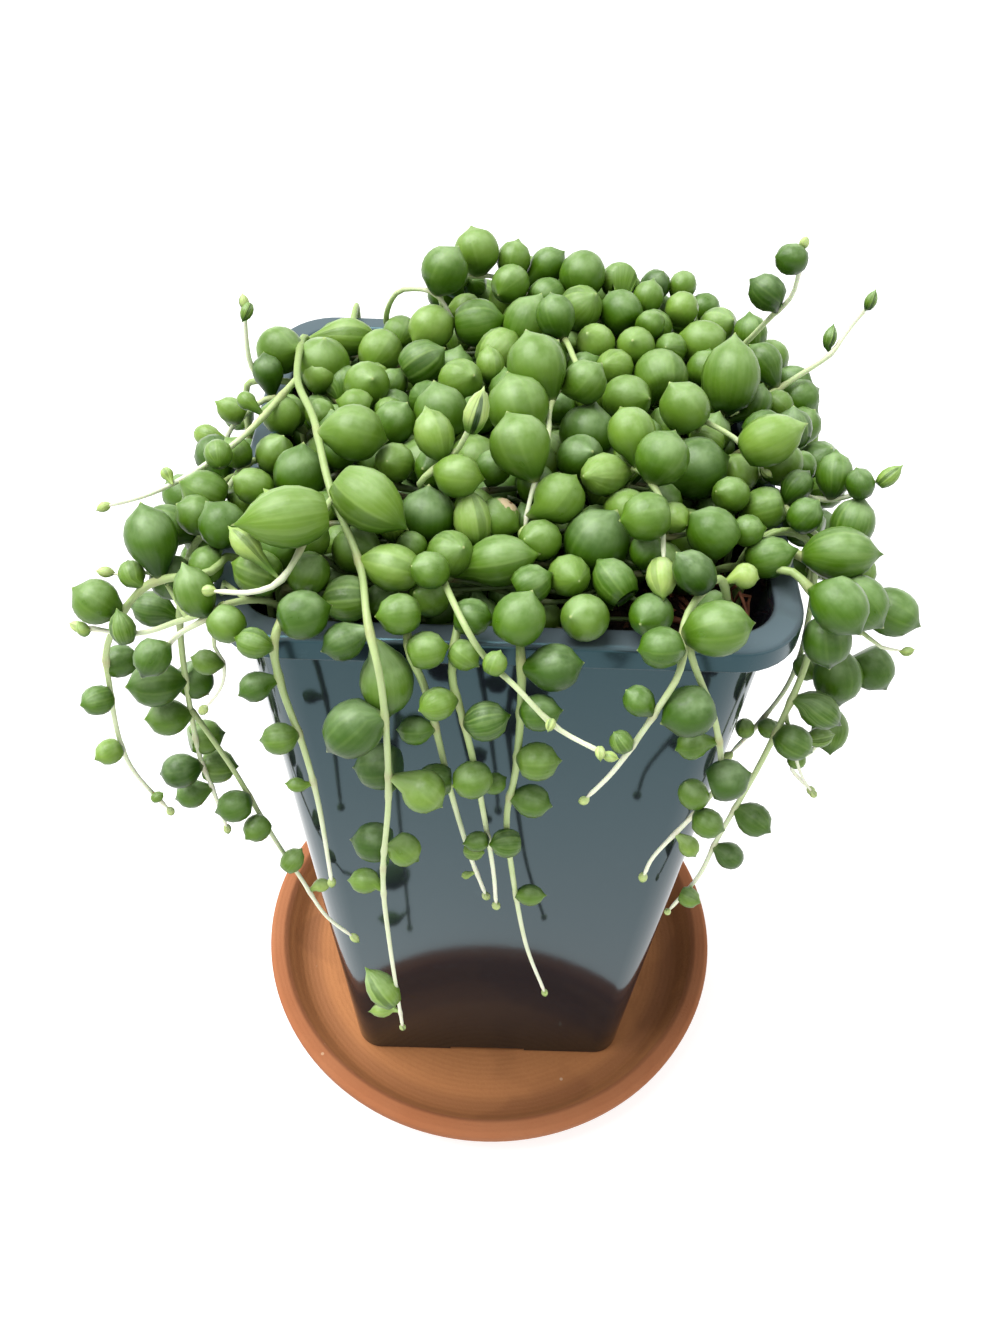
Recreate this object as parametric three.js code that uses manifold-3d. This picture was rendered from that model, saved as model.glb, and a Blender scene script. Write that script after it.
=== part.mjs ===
// Potted string of pearls: a trailing succulent in a square, tapered plastic pot on a round clay saucer.
// Millimetres, +Z up. The origin is the centre of the saucer's underside, and the viewer stands on -Y.
import * as THREE from 'three';
import { mergeVertices } from 'three/addons/utils/BufferGeometryUtils.js';
import Module from 'manifold-3d';

const wasm = await Module();
wasm.setup();

// Saucer
const SAUCER_RADIUS = 56.7;
const SAUCER_FOOT_RADIUS = 45.5;
const SAUCER_HEIGHT = 12.5;
const SAUCER_FLOOR = 5;
const SAUCER_WALL = 4.4;
const SAUCER_FOOT_ROUND = 3;
const SAUCER_LIP_ROUND = 1.2;
const SAUCER_WALL_LEAN = 0.4;
const SAUCER_SIDES = 36;

// Pot: half widths are from the middle to the flat of a side
const RIM_TOP = 160;
const RIM_HALF = 45;
const RIM_DROP = 4.5;
const RIM_INNER_HALF = 40.7;
const RIM_ROUND = 0.6;
const RIM_SEAT = 1.5;
const POT_TOP_HALF = 41.6;
const FOOT_HALF = 32;
const FOOT_HEIGHT = 1.7;
const POT_WALL = 1.2;
const FLOOR_THICKNESS = 1.3;
const POT_FLOOR = SAUCER_FLOOR + FOOT_HEIGHT + FLOOR_THICKNESS;
const RIM_CORNER = 11;
const BODY_CORNER = 9;
const MOUTH_CORNER = 8;
const FOOT_CORNER = 6;
const CORNER_STEPS = 3;
const NOTCH_WIDTH = 18;
const NOTCH_HEIGHT = 1.3;
const DRAIN_RADIUS = 3;
const DRAIN_SPACING = 17;
const DRAIN_SIDES = 10;

// Soil: it lies level along the wall and rises in two steps to a low hill
const SOIL_EDGE = 147;
const SOIL_SHOULDER = { share: 0.7, rise: 4 };
const SOIL_CREST = { share: 0.3, rise: 7 };
const SOIL_GAP = 0.3;
const HOLE_FLOOR = 140;
const HOLE_HALF = 1.3;

// Stems
const STEM_SIDES = 3;
const STEM_STEP = 11;
const STEM_RADIUS = 1.0;
const BRANCH_RADIUS = 0.8;
const TIP_RADIUS = 0.5;
const ROOT_HEIGHT = 149;
const CURVE_STEPS = 12;

// Pearls: a pearl's width is across its belly, and its length is its width times its stretch
const STRETCH = 1.1;
const NECK = 0.8;
const STALK_SINK = 0.4;
const POINT_REACH = 1.15;
const BUD_WIDTH = 3.7;
const BUD_SECTIONS = [[0.1, 1]];
const PEARL_SECTIONS = [[-0.42, 0.95], [0.48, 0.93]];
const WIDE_PEARL = { over: 6.8, sides: 6 };
const MIDDLE_PEARL = { over: 5, sides: 5 };
const SMALL_PEARL_SIDES = 4;

// How pearls make room for each other
const CLEARANCE = 0.3;
const RELAX_ROUNDS = 60;
const FREE_ROUNDS = 10;
const HOMING = 0.06;
const PAIR_REACH = 16;
const BALL_SPACING = 1.5;
const SHRINK_STEP = 0.08;
const SMALLEST_SHARE = 0.6;

// The mound: how high the middles of its pearls lie, with a bulge at the back and a dip beside it
const MOUND_EDGE = 163;
const MOUND_RISE = 8;
const MOUND_HALF = 46;
const MOUND_FALL = 2.6;
const MOUND_BULGE = { height: 9, x: 10, y: 44, wide: 24, deep: 15 };
const MOUND_DIP = { height: -5, x: -28, y: 32, wide: 18, deep: 18 };
const ROW_REACH = 34.5;
const ROW_STEM_DROP = 1.6;
const UNDER_GAP = 10.5;
const UNDER_WIDTH = 5.5;
const UNDER_SPREAD = 1.5;

// Points of a finished solid lie on a grid this fine
const GRID = 0.002;

// A clock angle is read as someone sees it who looks along +Y and down at 46 degrees:
// 0 is to the right, 90 is up the picture, and what is left over points at the viewer.
const LOOK_DOWN = THREE.MathUtils.degToRad(46);
const RIGHT = new THREE.Vector3(1, 0, 0);
const UPWARD = new THREE.Vector3(0, Math.sin(LOOK_DOWN), Math.cos(LOOK_DOWN));
const TOWARDS = new THREE.Vector3(0, -Math.cos(LOOK_DOWN), Math.sin(LOOK_DOWN));

// Rows of pearls that lie across the pot, each on a stem of its own that runs beneath them.
// A pearl is [x, y, width, length over width]. A shoot starts from the row's stem and has
// a route of its own, and its pearls are [mm along, clock angle, width, reach, length over width].
// A negative reach puts the pearl behind the stem.
const ROWS = {
  row_rear: { pearls: [[12, 38, 8], [18, 38, 6.5], [24, 36, 5.5], [31, 34, 6], [38, 33, 6.5]] },
  row_crest: { pearls: [[0, 33, 6], [7, 32, 6.5], [12, 31, 7.5], [18, 29, 7.5], [25, 25, 5]] },
  row_back: {
    pearls: [[-25, 24, 7.5], [-21, 31, 6.5], [0, 26, 9], [15, 20, 6.5], [21, 20, 6.5], [28, 24, 5.5],
      [33, 24, 8]],
  },
  row_behind: {
    pearls: [[-34, 15, 6], [-25, 8, 7.5], [-16, 14, 7.5], [-9, 7, 7], [-4, 12, 4.5], [5, 16, 8.5],
      [18, 13, 6], [25, 12, 9], [34, 19, 6]],
    shoots: [{
      stem: [[8, 19, 172], [10, 10, 174], [10, 4, 175], [6, -6, 176], [5, -18, 175], [3, -24, 172],
        [2, -28, 168]],
      pearls: [[0, 110, 6.5, 3.3], [18, 320, 6.5, 2.8], [24, 140, 8.5, 4.8], [29, 170, 8.5, 4.8],
        [39, 170, 8, 4.1], [46, 340, 7, 4.5]],
    }],
  },
  row_upper: {
    pearls: [[-38, 3, 6], [-32, 0, 5], [-26, 1, 5.5], [-19, -5, 6.5], [-12, -3, 8], [12, -4, 8.5],
      [19, 4, 7.5], [32, -4, 5.5]],
    shoots: [{
      stem: [[30, -5, 172], [33, -8, 173], [36, -10, 172], [40, -13, 169]],
      pearls: [[0, 150, 7.5, 3.3], [11, 40, 7, 3.2], [13, 40, 4, 6.3]],
    }],
  },
  row_middle: {
    pearls: [[-39, -9, 6], [-33, -16, 8], [-28, -12, 5.5], [-18, -16, 6], [-12, -17, 6.5], [-3, -17, 5.5],
      [11, -14, 7], [18, -15, 4.5], [31, -14, 9], [39, -9, 6.5]],
    shoots: [{
      stem: [[-14, -23, 172], [-9, -21, 176], [-7, -21, 180], [-5, -23, 187]],
      pearls: [[5, 310, 6, 3.1], [7, 140, 5.5, 4.1, 1.3], [15, 340, 3.5, 0.3, 1.6]],
    }, {
      stem: [[19, -19, 173], [22, -26, 173], [22, -32, 172], [22, -37, 170]],
      pearls: [[0, 190, 7, 5, 1.2], [0, 100, 7, 5.2], [2, 50, 7, 3.3], [12, 180, 6, 2.7],
        [20, 280, 3, 2.1, 1.4]],
    }],
  },
  row_lower: {
    pearls: [[-36, -25, 7], [-24, -24, 7], [-13, -25, 7.5], [-6, -28, 5.5, 1.4], [-2, -23, 6],
      [4, -26, 5.5], [25, -26, 4.5], [35, -17, 5.5]],
  },
  row_before: {
    pearls: [[-29, -32, 5], [-23, -32, 7.5], [-18, -30, 4], [-15, -33, 4.5], [-9, -33, 6.5],
      [-1, -35, 6, 1.5], [4, -31, 6], [12, -29, 9], [19, -32, 5.5], [30, -28, 7], [35, -23, 4.5]],
    shoots: [{
      stem: [[-10, -39, 168], [-6, -50, 168], [-3, -50, 162], [1, -54, 161], [7, -57, 156],
        [14, -60, 154]],
      pearls: [[0, 170, 5.5, 2], [20, 50, 3.5, 0.4], [32, 260, 1.5, 0.2, 1.5], [40, 270, 1.5, 0.1, 1.6]],
    }],
  },
  row_front: {
    pearls: [[-37, -39, 6.5], [-29, -38, 6], [-21, -39, 6.5], [3, -38, 5.5], [8, -37, 6], [11, -43, 7],
      [15, -38, 6, 1.3], [20, -42, 7]],
  },
};

// Strands that come up beside the rim and over it. Runs after the first are its branches.
const STRANDS = {
  strand_front_long: [{
    stem: [[-37, 27, 149], [-37, 25, 160], [-38, 25, 167], [-36, 4, 172], [-31, -12, 175],
      [-27, -27, 174], [-22, -37, 168], [-20, -47, 166], [-18, -51, 155], [-18, -51, 132],
      [-20, -50, 107], [-20, -48, 82], [-19, -44, 40]],
    pearls: [[11, 10, 7, 4, 1.3], [15, 10, 7, 6.8], [26, 170, 7, 1.9], [63, 10, 8, 5.6],
      [78, 20, 8, 4.5, 1.4], [88, 10, 6.5, 5.2, 1.35], [98, 200, 5.5, 4.5], [105, 0, 8, -1.1],
      [114, 180, 7.5, 3.4], [126, 180, 7, -1.4], [133, 0, 6.5, 4], [147, 350, 5.5, 3.4], [148, 170, 6.5, -2],
      [159, 180, 4, 3.2], [202, 190, 6.5, 2.3, 1.3], [214, 190, 3, 3.5]],
  }, {
    stem: [[-36, 4, 172], [-42, -10, 171], [-49, -16, 168], [-56, -20, 166], [-63, -21, 164]],
    pearls: [[7, 310, 6.5, 0.7], [11, 140, 3, 3.6], [22, 300, 4.5, 1.2], [30, 120, 2, 1.8]],
  }, {
    stem: [[-26, -29, 174], [-29, -35, 172], [-32, -43, 170], [-36, -45, 169], [-42, -44, 168]],
    pearls: [[7, 150, 3, 4.5, 1.7], [8, 150, 8, 3.4, 1.5], [13, 150, 3.2, 5.4, 1.7]],
  }],
  strand_front_left: [{
    stem: [[-31, -37, 149], [-31, -37.6, 159], [-31, -42, 164], [-33, -49, 164], [-33, -49, 154],
      [-31, -49, 140], [-30, -48, 123], [-30, -46, 99]],
    pearls: [[22, 10, 7, 4], [26, 170, 4.5, 2.7], [33, 200, 4.5, 3.7], [45, 200, 5, 2.7],
      [58, 190, 2.5, 2.7, 1.4]],
  }],
  strand_mid_front: [{
    stem: [[-15, -37, 149], [-15, -37.6, 159], [-15, -42, 164], [-14, -49, 162], [-12, -50, 156],
      [-10, -50, 144], [-8, -49, 129], [-5, -47, 110], [-2, -46, 96]],
    pearls: [[19, 180, 6, 0.4], [24, 0, 5.5, 3.5], [40, 190, 5.5, 3.5], [53, 190, 5.5, 1.8],
      [76, 10, 3.5, 1], [84, 200, 1.5, 1.9]],
  }],
  strand_mid_fall: [{
    stem: [[-7, -37, 149], [-7, -37.6, 159], [-7, -42, 164], [-8, -50, 159], [-6, -52, 150],
      [-4, -51, 136], [-1, -49, 110], [0, -48, 96]],
    pearls: [[18, 340, 5.5, 0.4], [23, 350, 4.5, 2], [31, 190, 5, 3], [36, 10, 6, 3.2], [50, 180, 6, 0.6],
      [53, 10, 3.5, 3.5], [68, 200, 3.5, 1, 1.3]],
  }],
  strand_centre_fall: [{
    stem: [[1, -37, 149], [1, -37.6, 159], [1, -42, 164], [2, -51, 159], [2, -51, 140], [1, -50, 126],
      [2, -49, 112], [6, -46, 80], [11, -44, 57]],
    pearls: [[19, 50, 7.5, 0.1], [26, 0, 7, 4.7], [34, 0, 5.5, 2.6], [45, 350, 6, 3], [56, 350, 5.5, 3.6],
      [69, 190, 5, 1], [89, 10, 4, 2.5, 1.4]],
  }],
  strand_right_front: [{
    stem: [[33, -34, 149], [33, -35, 160], [30, -38, 168], [25, -45, 167], [24, -52, 164],
      [22, -54, 159], [17, -54, 144], [13, -54, 136]],
    pearls: [[11, 240, 7, 4.1, 1.25], [17, 30, 3, 2.8], [24, 140, 6, 3.3, 1.3], [33, 0, 8, 4.5],
      [35, 170, 6, 3.3], [46, 140, 4.5, 3], [54, 150, 3.5, 1.9]],
  }, {
    stem: [[25, -47, 166], [26, -50, 163], [31, -51, 151], [34, -50, 137], [32, -49, 127],
      [27, -48, 113], [26, -47, 105]],
    pearls: [[13, 200, 7.5, 3.5], [22, 190, 4.5, 4.1], [32, 10, 6.5, 0.2], [40, 140, 5, 2.6],
      [43, 320, 5, 2], [50, 320, 3.5, 3.2]],
  }],
  strand_right_long: [{
    stem: [[37, -31, 149], [37.6, -31, 159], [42, -31, 164], [47, -36, 161], [48, -34, 152],
      [47, -36, 143], [44, -38, 126], [40, -39, 106], [38, -40, 95], [34, -40, 83]],
    pearls: [[24, 20, 5.5, 0.9], [34, 0, 7, 0.3], [46, 340, 6, 4.8, 1.4], [54, 340, 6, 2.6],
      [73, 330, 6, 3.9], [84, 330, 5, 3.4], [99, 330, 4, 0.4]],
  }],
  strand_right_inner: [{
    stem: [[37, -22, 149], [37.6, -22, 159], [42, -22, 164], [48.5, -22, 160], [51, -22, 142],
      [50, -24, 132], [46, -27, 125], [41, -30, 119]],
    pearls: [[50, 320, 4.5, 1], [63, 320, 3.5, 1.5], [62, 320, 5, 5.4], [66, 130, 3.5, 1.6]],
  }],
  strand_right_outer: [{
    stem: [[37, -26, 149], [37.6, -26, 159], [42, -26.5, 164], [48, -29, 162], [54, -30, 154],
      [57, -27, 135], [58, -25, 116], [55, -24, 109], [60, -24, 102]],
    pearls: [[14, 190, 6, 4, 1.3], [24, 40, 7, 4.1, 1.45], [31, 10, 8, 1.1], [35, 10, 7, 6.8],
      [50, 0, 7, 4.3], [54, 190, 8, 0.4], [67, 250, 6.5, 0.1, 1.3], [79, 150, 3.5, 0.5]],
  }],
  strand_right_back: [{
    stem: [[37, -14, 149], [37.6, -14, 159], [42, -14, 164], [45, -20, 165], [49, -22, 163], [56, -21, 158]],
    pearls: [[19, 200, 6.5, 3.5], [20, 50, 5, 3.9], [24, 40, 5.5, 0.2], [32, 60, 7, 2.9, 1.2],
      [37, 280, 5, 2.6, 1.3]],
  }],
  strand_right_up: [{
    stem: [[36, 4, 149], [36, 4, 160], [36, 8, 168], [40, 19, 171], [41, 17, 175], [43, 15, 180],
      [45, 12, 186], [45, 12, 194]],
    pearls: [[22, 340, 5.5, 5.7], [23, 150, 9, 0.3, 1.15], [45, 130, 6, 3.3], [55, 170, 5, 2]],
  }],
  strand_right_thin: [{
    stem: [[37, 12, 149], [37.6, 12, 159], [42, 12, 164], [50, 17, 167], [56, 20, 170], [59, 23, 173],
      [62, 24, 178]],
    pearls: [[20, 320, 5, 2.5], [23, 120, 6.5, 5.5], [37, 150, 2, 1.9], [45, 120, 2, 0.3, 1.5]],
  }],
  strand_right_reach: [{
    stem: [[37, -6, 149], [37.6, -6, 159], [42, -7, 163.6], [47, -14, 165], [51, -16, 166], [54, -17, 168],
      [57, -17, 171]],
    pearls: [[18, 70, 7, 1.9], [30, 90, 6, 3.6, 1.2], [35, 130, 4.5, 1, 1.2], [39, 300, 2.5, 0.2, 1.6]],
  }],
  strand_left_outer: [{
    stem: [[-37, -32, 149], [-37.6, -32, 159], [-42, -32, 164], [-44, -38, 166], [-54, -37, 162],
      [-62, -37, 150], [-64, -37, 139], [-65, -37, 126], [-64, -37, 117], [-60, -37, 107]],
    pearls: [[32, 110, 8, 5.6, 1.2], [35, 120, 4, 3.2], [45, 150, 7, 3], [54, 0, 5.5, -1.1],
      [63, 190, 5, 1.2], [76, 190, 4.5, 1.4], [90, 40, 2, 0.5, 1.3]],
  }],
  strand_left_low: [{
    stem: [[-34, -36, 149], [-35, -37, 159], [-40, -42, 164], [-44, -45, 163], [-48, -45, 160],
      [-51, -45, 156]],
    pearls: [[21, 300, 5.5, 2.6], [23, 120, 6, 3.7, 1.4], [32, 230, 5.5, 2.4]],
  }, {
    stem: [[-41, -43, 164], [-49, -40, 158], [-56, -40, 155], [-65, -38, 154]],
    pearls: [[20, 80, 4, 0.8, 1.5], [26, 90, 2, 1.2, 1.5]],
  }],
  strand_left_inner: [{
    stem: [[-37, -24, 149], [-37.6, -24, 159], [-42, -24, 164], [-49, -26, 161], [-53, -29, 147],
      [-55, -29, 116], [-54, -29, 103], [-53, -29, 91]],
    pearls: [[40, 160, 6, 4.7], [54, 190, 8, 4.6], [54, 330, 6.5, -0.3], [63, 190, 6.5, 3.6],
      [70, 20, 6.5, -0.5], [79, 20, 6.5, -1.5], [77, 200, 6.5, 3.8], [84, 200, 5.5, 4]],
  }, {
    stem: [[-55, -29, 127], [-48, -33, 114], [-42, -37, 100], [-37, -40, 90], [-33, -42, 81],
      [-28, -43, 75]],
    pearls: [[22, 210, 6, 2.5], [28, 220, 5, 0.9], [38, 40, 4, 1.1, 1.3], [46, 30, 2.5, 2.6, 1.3]],
  }],
  strand_left_crown: [{
    stem: [[-37, -8, 149], [-37.6, -8, 159], [-42, -8, 164], [-46, -17, 163], [-47, -22, 157]],
    pearls: [[19, 130, 5, 1.8], [26, 330, 5.5, 2.9], [27, 160, 7, 1.2], [33, 170, 6.5, 0.6, 1.2],
      [33, 350, 6.5, 3.1], [33, 180, 4, 5.8]],
  }],
  strand_left_back: [{
    stem: [[-37, 10, 149], [-37.6, 10, 159], [-42, 10, 164], [-48, 4, 162], [-50, 4, 157]],
    pearls: [[17, 100, 5.5, 4.7], [24, 140, 4.5, 1, 1.3], [29, 170, 4, 3.5, 1.3]],
  }, {
    stem: [[-40, 10, 162], [-45, 13, 167], [-46, 14, 171], [-46, 16, 178]],
    pearls: [[18, 0, 2, 0.7, 1.6]],
  }],
  strand_back_arch: [{
    stem: [[-22, 36, 149], [-22, 36, 158], [-24, 35, 165], [-22, 32, 172], [-19, 31, 174], [-14, 29, 174],
      [-10, 27, 168]],
    pearls: [[33, 60, 7.5, 3.9], [39, 210, 7.5, 4], [41, 10, 8, 3.9]],
  }],
  strand_back_bow: [{
    stem: [[-12, 37, 149], [-12, 38, 160], [-14, 38, 171], [-9, 38, 173], [-3, 38, 173], [3, 37, 170]],
    pearls: [[16, 20, 5.5, 4.1], [30, 90, 7.5, 3.5], [36, 60, 6, 3.7], [38, 230, 6.5, 1.3],
      [39, 50, 6.5, 6.4]],
  }],
};

// Strands over the back rim and the hidden ends of the sides, made by a rule.
// Each is [x, y] of its root, and the side that it hangs over as a unit step.
const HIDDEN_STRANDS = {
  strand_back_left: { root: [-31, 37], over: [0, 1] },
  strand_back_centre_left: { root: [-3, 37], over: [0, 1] },
  strand_back_centre: { root: [7, 37], over: [0, 1] },
  strand_back_centre_right: { root: [20, 37], over: [0, 1] },
  strand_back_right: { root: [32, 37], over: [0, 1] },
  strand_right_rear: { root: [37, 26], over: [1, 0] },
  strand_left_rear: { root: [-37, 19], over: [-1, 0] },
};
const HANG_OUT = 48.5;
const HANG_TUCK = 3;
const HANG_SHORTEST = 42;
const HANG_SPREAD = 55;
const HANG_SWAY = 8;
const HANG_FIRST = 22;
const HANG_OVER = 18;
const HANG_DROOP = -0.25;
const PEARL_SPACING = 12;
const OVER_RIM = [[37.6, 159], [42, 164.4], [HANG_OUT, 159]];

// A repeatable draw between 0 and 1
function makeDraw(seed) {
  const modulus = 2147483647;
  let state = seed;
  return () => {
    state = (state * 16807) % modulus;
    return state / modulus;
  };
}

// A smooth route through the points, with the distance along it at each of its short steps
function smoothRoute(points) {
  const knots = points.map((p) => new THREE.Vector3(...p));
  const curve = new THREE.CatmullRomCurve3(knots, false, 'catmullrom', 0.5);
  const steps = curve.getPoints((knots.length - 1) * CURVE_STEPS);
  const distances = [0];
  for (let i = 1; i < steps.length; i += 1) {
    distances.push(distances[i - 1] + steps[i].distanceTo(steps[i - 1]));
  }
  return { steps, distances, length: distances[distances.length - 1] };
}

function pointAt(route, distance) {
  const wanted = Math.min(Math.max(distance, 0), route.length);
  let i = 1;
  while (i < route.distances.length - 1 && route.distances[i] < wanted) i += 1;
  const span = route.distances[i] - route.distances[i - 1];
  const share = span > 0 ? (wanted - route.distances[i - 1]) / span : 0;
  return route.steps[i - 1].clone().lerp(route.steps[i], share);
}

function nearestOn(route, point) {
  return route.steps.reduce((a, b) => (a.distanceTo(point) <= b.distanceTo(point) ? a : b)).clone();
}

function stemRadius(share, thick) {
  return thick + (TIP_RADIUS - thick) * share;
}

// How high the middles of the pearls lie over a place in the mouth of the pot
function moundHeight(x, y) {
  const edge = Math.min(1, Math.max(Math.abs(x), Math.abs(y)) / MOUND_HALF);
  const hump = ({ height, x: cx, y: cy, wide, deep }) => (
    height * Math.exp(-(((x - cx) / wide) ** 2) - ((y - cy) / deep) ** 2));
  return MOUND_EDGE + MOUND_RISE * (1 - edge ** MOUND_FALL) + hump(MOUND_BULGE) + hump(MOUND_DIP);
}

function pearlOnStem(route, [along, clock, width, reach, stretch = STRETCH]) {
  const foot = pointAt(route, along);
  const angle = THREE.MathUtils.degToRad(clock);
  const side = Math.abs(reach);
  const hold = Math.max(side, width / 2 + NECK);
  const depth = Math.sqrt(hold * hold - side * side) * (reach < 0 ? -1 : 1);
  const centre = foot.clone()
    .addScaledVector(RIGHT, Math.cos(angle) * side)
    .addScaledVector(UPWARD, Math.sin(angle) * side)
    .addScaledVector(TOWARDS, depth);
  return { foot, centre, home: centre.clone(), width, stretch, give: 0.25 };
}

function bodyHalfAt(z) {
  const share = (z - SAUCER_FLOOR) / (RIM_TOP - SAUCER_FLOOR);
  return THREE.MathUtils.lerp(FOOT_HALF, POT_TOP_HALF, share);
}

function bodyCornerAt(z) {
  const share = (z - SAUCER_FLOOR) / (RIM_TOP - SAUCER_FLOOR);
  return THREE.MathUtils.lerp(FOOT_CORNER, BODY_CORNER, share);
}

// The distance from a point to the pot's wall and rim, and the way out from it.
// Both are worked out on a section: how far out the point is, and how high.
function potDistance(point) {
  const ax = Math.abs(point.x);
  const ay = Math.abs(point.y);
  const out = Math.max(ax, ay);
  const outward = ax > ay ? new THREE.Vector3(Math.sign(point.x), 0, 0)
    : new THREE.Vector3(0, Math.sign(point.y), 0);
  const besideRim = point.z > RIM_TOP - RIM_DROP - 2;
  const outerHalf = besideRim ? RIM_HALF : bodyHalfAt(point.z);
  const rise = Math.max(point.z - RIM_TOP, 0);
  const beyond = Math.max(out - outerHalf, 0);
  const within = Math.max(RIM_INNER_HALF - POT_WALL / 2 - out, 0);
  if (rise === 0 && beyond === 0 && within === 0) {
    const middle = (RIM_HALF + RIM_INNER_HALF) / 2;
    return { distance: 0, way: out > middle ? outward : new THREE.Vector3(0, 0, 1) };
  }
  const way = outward.clone().multiplyScalar(beyond > 0 ? beyond : -within);
  way.z += rise;
  return { distance: way.length(), way: way.normalize() };
}

// Pearls push each other, the fixed stems and the pot away, and are drawn back to where they grew
function settle(pearls, stemBalls) {
  const half = (p) => p.width * (0.5 + 0.2 * (p.stretch - 1));
  const pairs = [];
  for (let i = 0; i < pearls.length; i += 1) {
    for (let j = i + 1; j < pearls.length; j += 1) {
      if (pearls[i].centre.distanceTo(pearls[j].centre) < PAIR_REACH) pairs.push([pearls[i], pearls[j]]);
    }
  }
  const near = pearls.map((p) => stemBalls.filter(
    (ball) => ball.strand !== p.strand && ball.centre.distanceTo(p.centre) < PAIR_REACH));
  for (let round = 0; round < RELAX_ROUNDS; round += 1) {
    for (const [a, b] of pairs) {
      const way = b.centre.clone().sub(a.centre);
      const distance = Math.max(way.length(), 0.01);
      const lap = half(a) + half(b) + CLEARANCE - distance;
      if (lap > 0) {
        way.multiplyScalar(lap / distance / (a.give + b.give));
        a.centre.addScaledVector(way, -a.give);
        b.centre.addScaledVector(way, b.give);
      }
    }
    pearls.forEach((p, index) => {
      for (const ball of near[index]) {
        const way = p.centre.clone().sub(ball.centre);
        const distance = Math.max(way.length(), 0.01);
        const lap = half(p) + ball.radius + CLEARANCE - distance;
        if (lap > 0) p.centre.addScaledVector(way, lap / distance);
      }
      const pot = potDistance(p.centre);
      const sunk = half(p) + CLEARANCE - pot.distance;
      if (sunk > 0) p.centre.addScaledVector(pot.way, sunk);
      if (round < RELAX_ROUNDS - FREE_ROUNDS) p.centre.lerp(p.home, HOMING);
    });
  }
}

function ballsAlong(route, thick, strand) {
  const balls = [];
  for (let d = 0; d <= route.length; d += BALL_SPACING) {
    balls.push({ centre: pointAt(route, d), radius: stemRadius(d / route.length, thick), strand });
  }
  return balls;
}

// The balls that fill a pearl: its belly, its two shoulders, its stalk and its point
function ballsOfPearl(p) {
  const axis = p.centre.clone().sub(p.foot).normalize();
  const belly = p.width / 2;
  const narrow = 0.62;
  const shoulder = belly * (p.stretch - narrow);
  const stalk = (p.centre.distanceTo(p.foot) + belly * 0.8) / 2;
  return [
    [0, belly],
    [shoulder, belly * narrow],
    [-shoulder, belly * narrow],
    [-stalk, belly * 0.3],
    [belly * p.stretch * POINT_REACH, belly * 0.08],
  ].map(([offset, radius]) => ({ centre: p.centre.clone().addScaledVector(axis, offset), radius }));
}

function ballsTouch(mine, theirs) {
  return mine.some((a) => theirs.some(
    (b) => a.centre.distanceTo(b.centre) < a.radius + b.radius + CLEARANCE / 2));
}

function isClear(p, others, stemBalls) {
  const mine = ballsOfPearl(p);
  const reach = p.width * p.stretch + 3;
  if (mine.some((ball) => potDistance(ball.centre).distance < ball.radius + CLEARANCE / 2)) return false;
  const nearPearls = others.filter(
    (other) => other.strand !== p.strand && other.centre.distanceTo(p.centre) < reach + other.width);
  if (nearPearls.some((other) => ballsTouch(mine, ballsOfPearl(other)))) return false;
  const nearStems = stemBalls.filter(
    (ball) => ball.strand !== p.strand && ball.centre.distanceTo(p.centre) < reach);
  return !ballsTouch(mine, nearStems);
}

// Pearls that still touch another strand shrink towards their stalks, or are left out
function makeRoom(pearls, stemBalls) {
  const kept = [];
  for (const p of pearls) {
    const away = p.centre.clone().sub(p.foot);
    const full = { width: p.width, hold: away.length() };
    away.normalize();
    let share = 1;
    while (share >= SMALLEST_SHARE && !isClear(p, kept, stemBalls)) {
      share -= SHRINK_STEP;
      p.width = full.width * share;
      const nearest = Math.max(p.width / 2 + NECK, full.hold - full.width * (1 - share) / 2);
      p.centre.copy(p.foot).addScaledVector(away, Math.min(full.hold, nearest));
    }
    if (share >= SMALLEST_SHARE) kept.push(p);
  }
  return kept;
}

// A strand by rule: up beside the rim, over it and straight down, with pearls to either side in turn
function hangingRun({ root: [x, y], over: [ox, oy] }, draw) {
  const length = HANG_SHORTEST + HANG_SPREAD * draw();
  const sway = (draw() - 0.5) * HANG_SWAY;
  const place = (out, z, aside = 0) => [
    (x + aside) * Math.abs(oy) + ox * out,
    (y + aside) * Math.abs(ox) + oy * out,
    z,
  ];
  const stem = [
    [x, y, ROOT_HEIGHT],
    ...OVER_RIM.map(([out, z]) => place(out, z)),
    place(HANG_OUT, RIM_TOP - length / 2),
    place(HANG_OUT - HANG_TUCK, RIM_TOP - length, sway),
  ];
  const route = smoothRoute(stem);
  const outward = new THREE.Vector3(ox, oy, 0);
  const sideways = new THREE.Vector3(-oy, ox, 0);
  const pearls = [];
  let side = 1;
  for (let along = HANG_FIRST; along < length + HANG_OVER; along += PEARL_SPACING * (0.75 + 0.5 * draw())) {
    const share = along / (length + HANG_OVER);
    const width = (7.6 - 4 * share * share) * (0.85 + 0.3 * draw());
    const turn = THREE.MathUtils.degToRad(side * (35 + 50 * draw()));
    const stretch = 1.05 + 0.2 * draw();
    const way = outward.clone().multiplyScalar(Math.cos(turn)).addScaledVector(sideways, Math.sin(turn));
    way.z = HANG_DROOP;
    const foot = pointAt(route, along);
    const centre = foot.clone().addScaledVector(way.normalize(), width / 2 + NECK);
    pearls.push({ foot, centre, home: centre.clone(), width, stretch, give: 0.5 });
    side = -side;
  }
  return { route, pearls };
}

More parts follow.
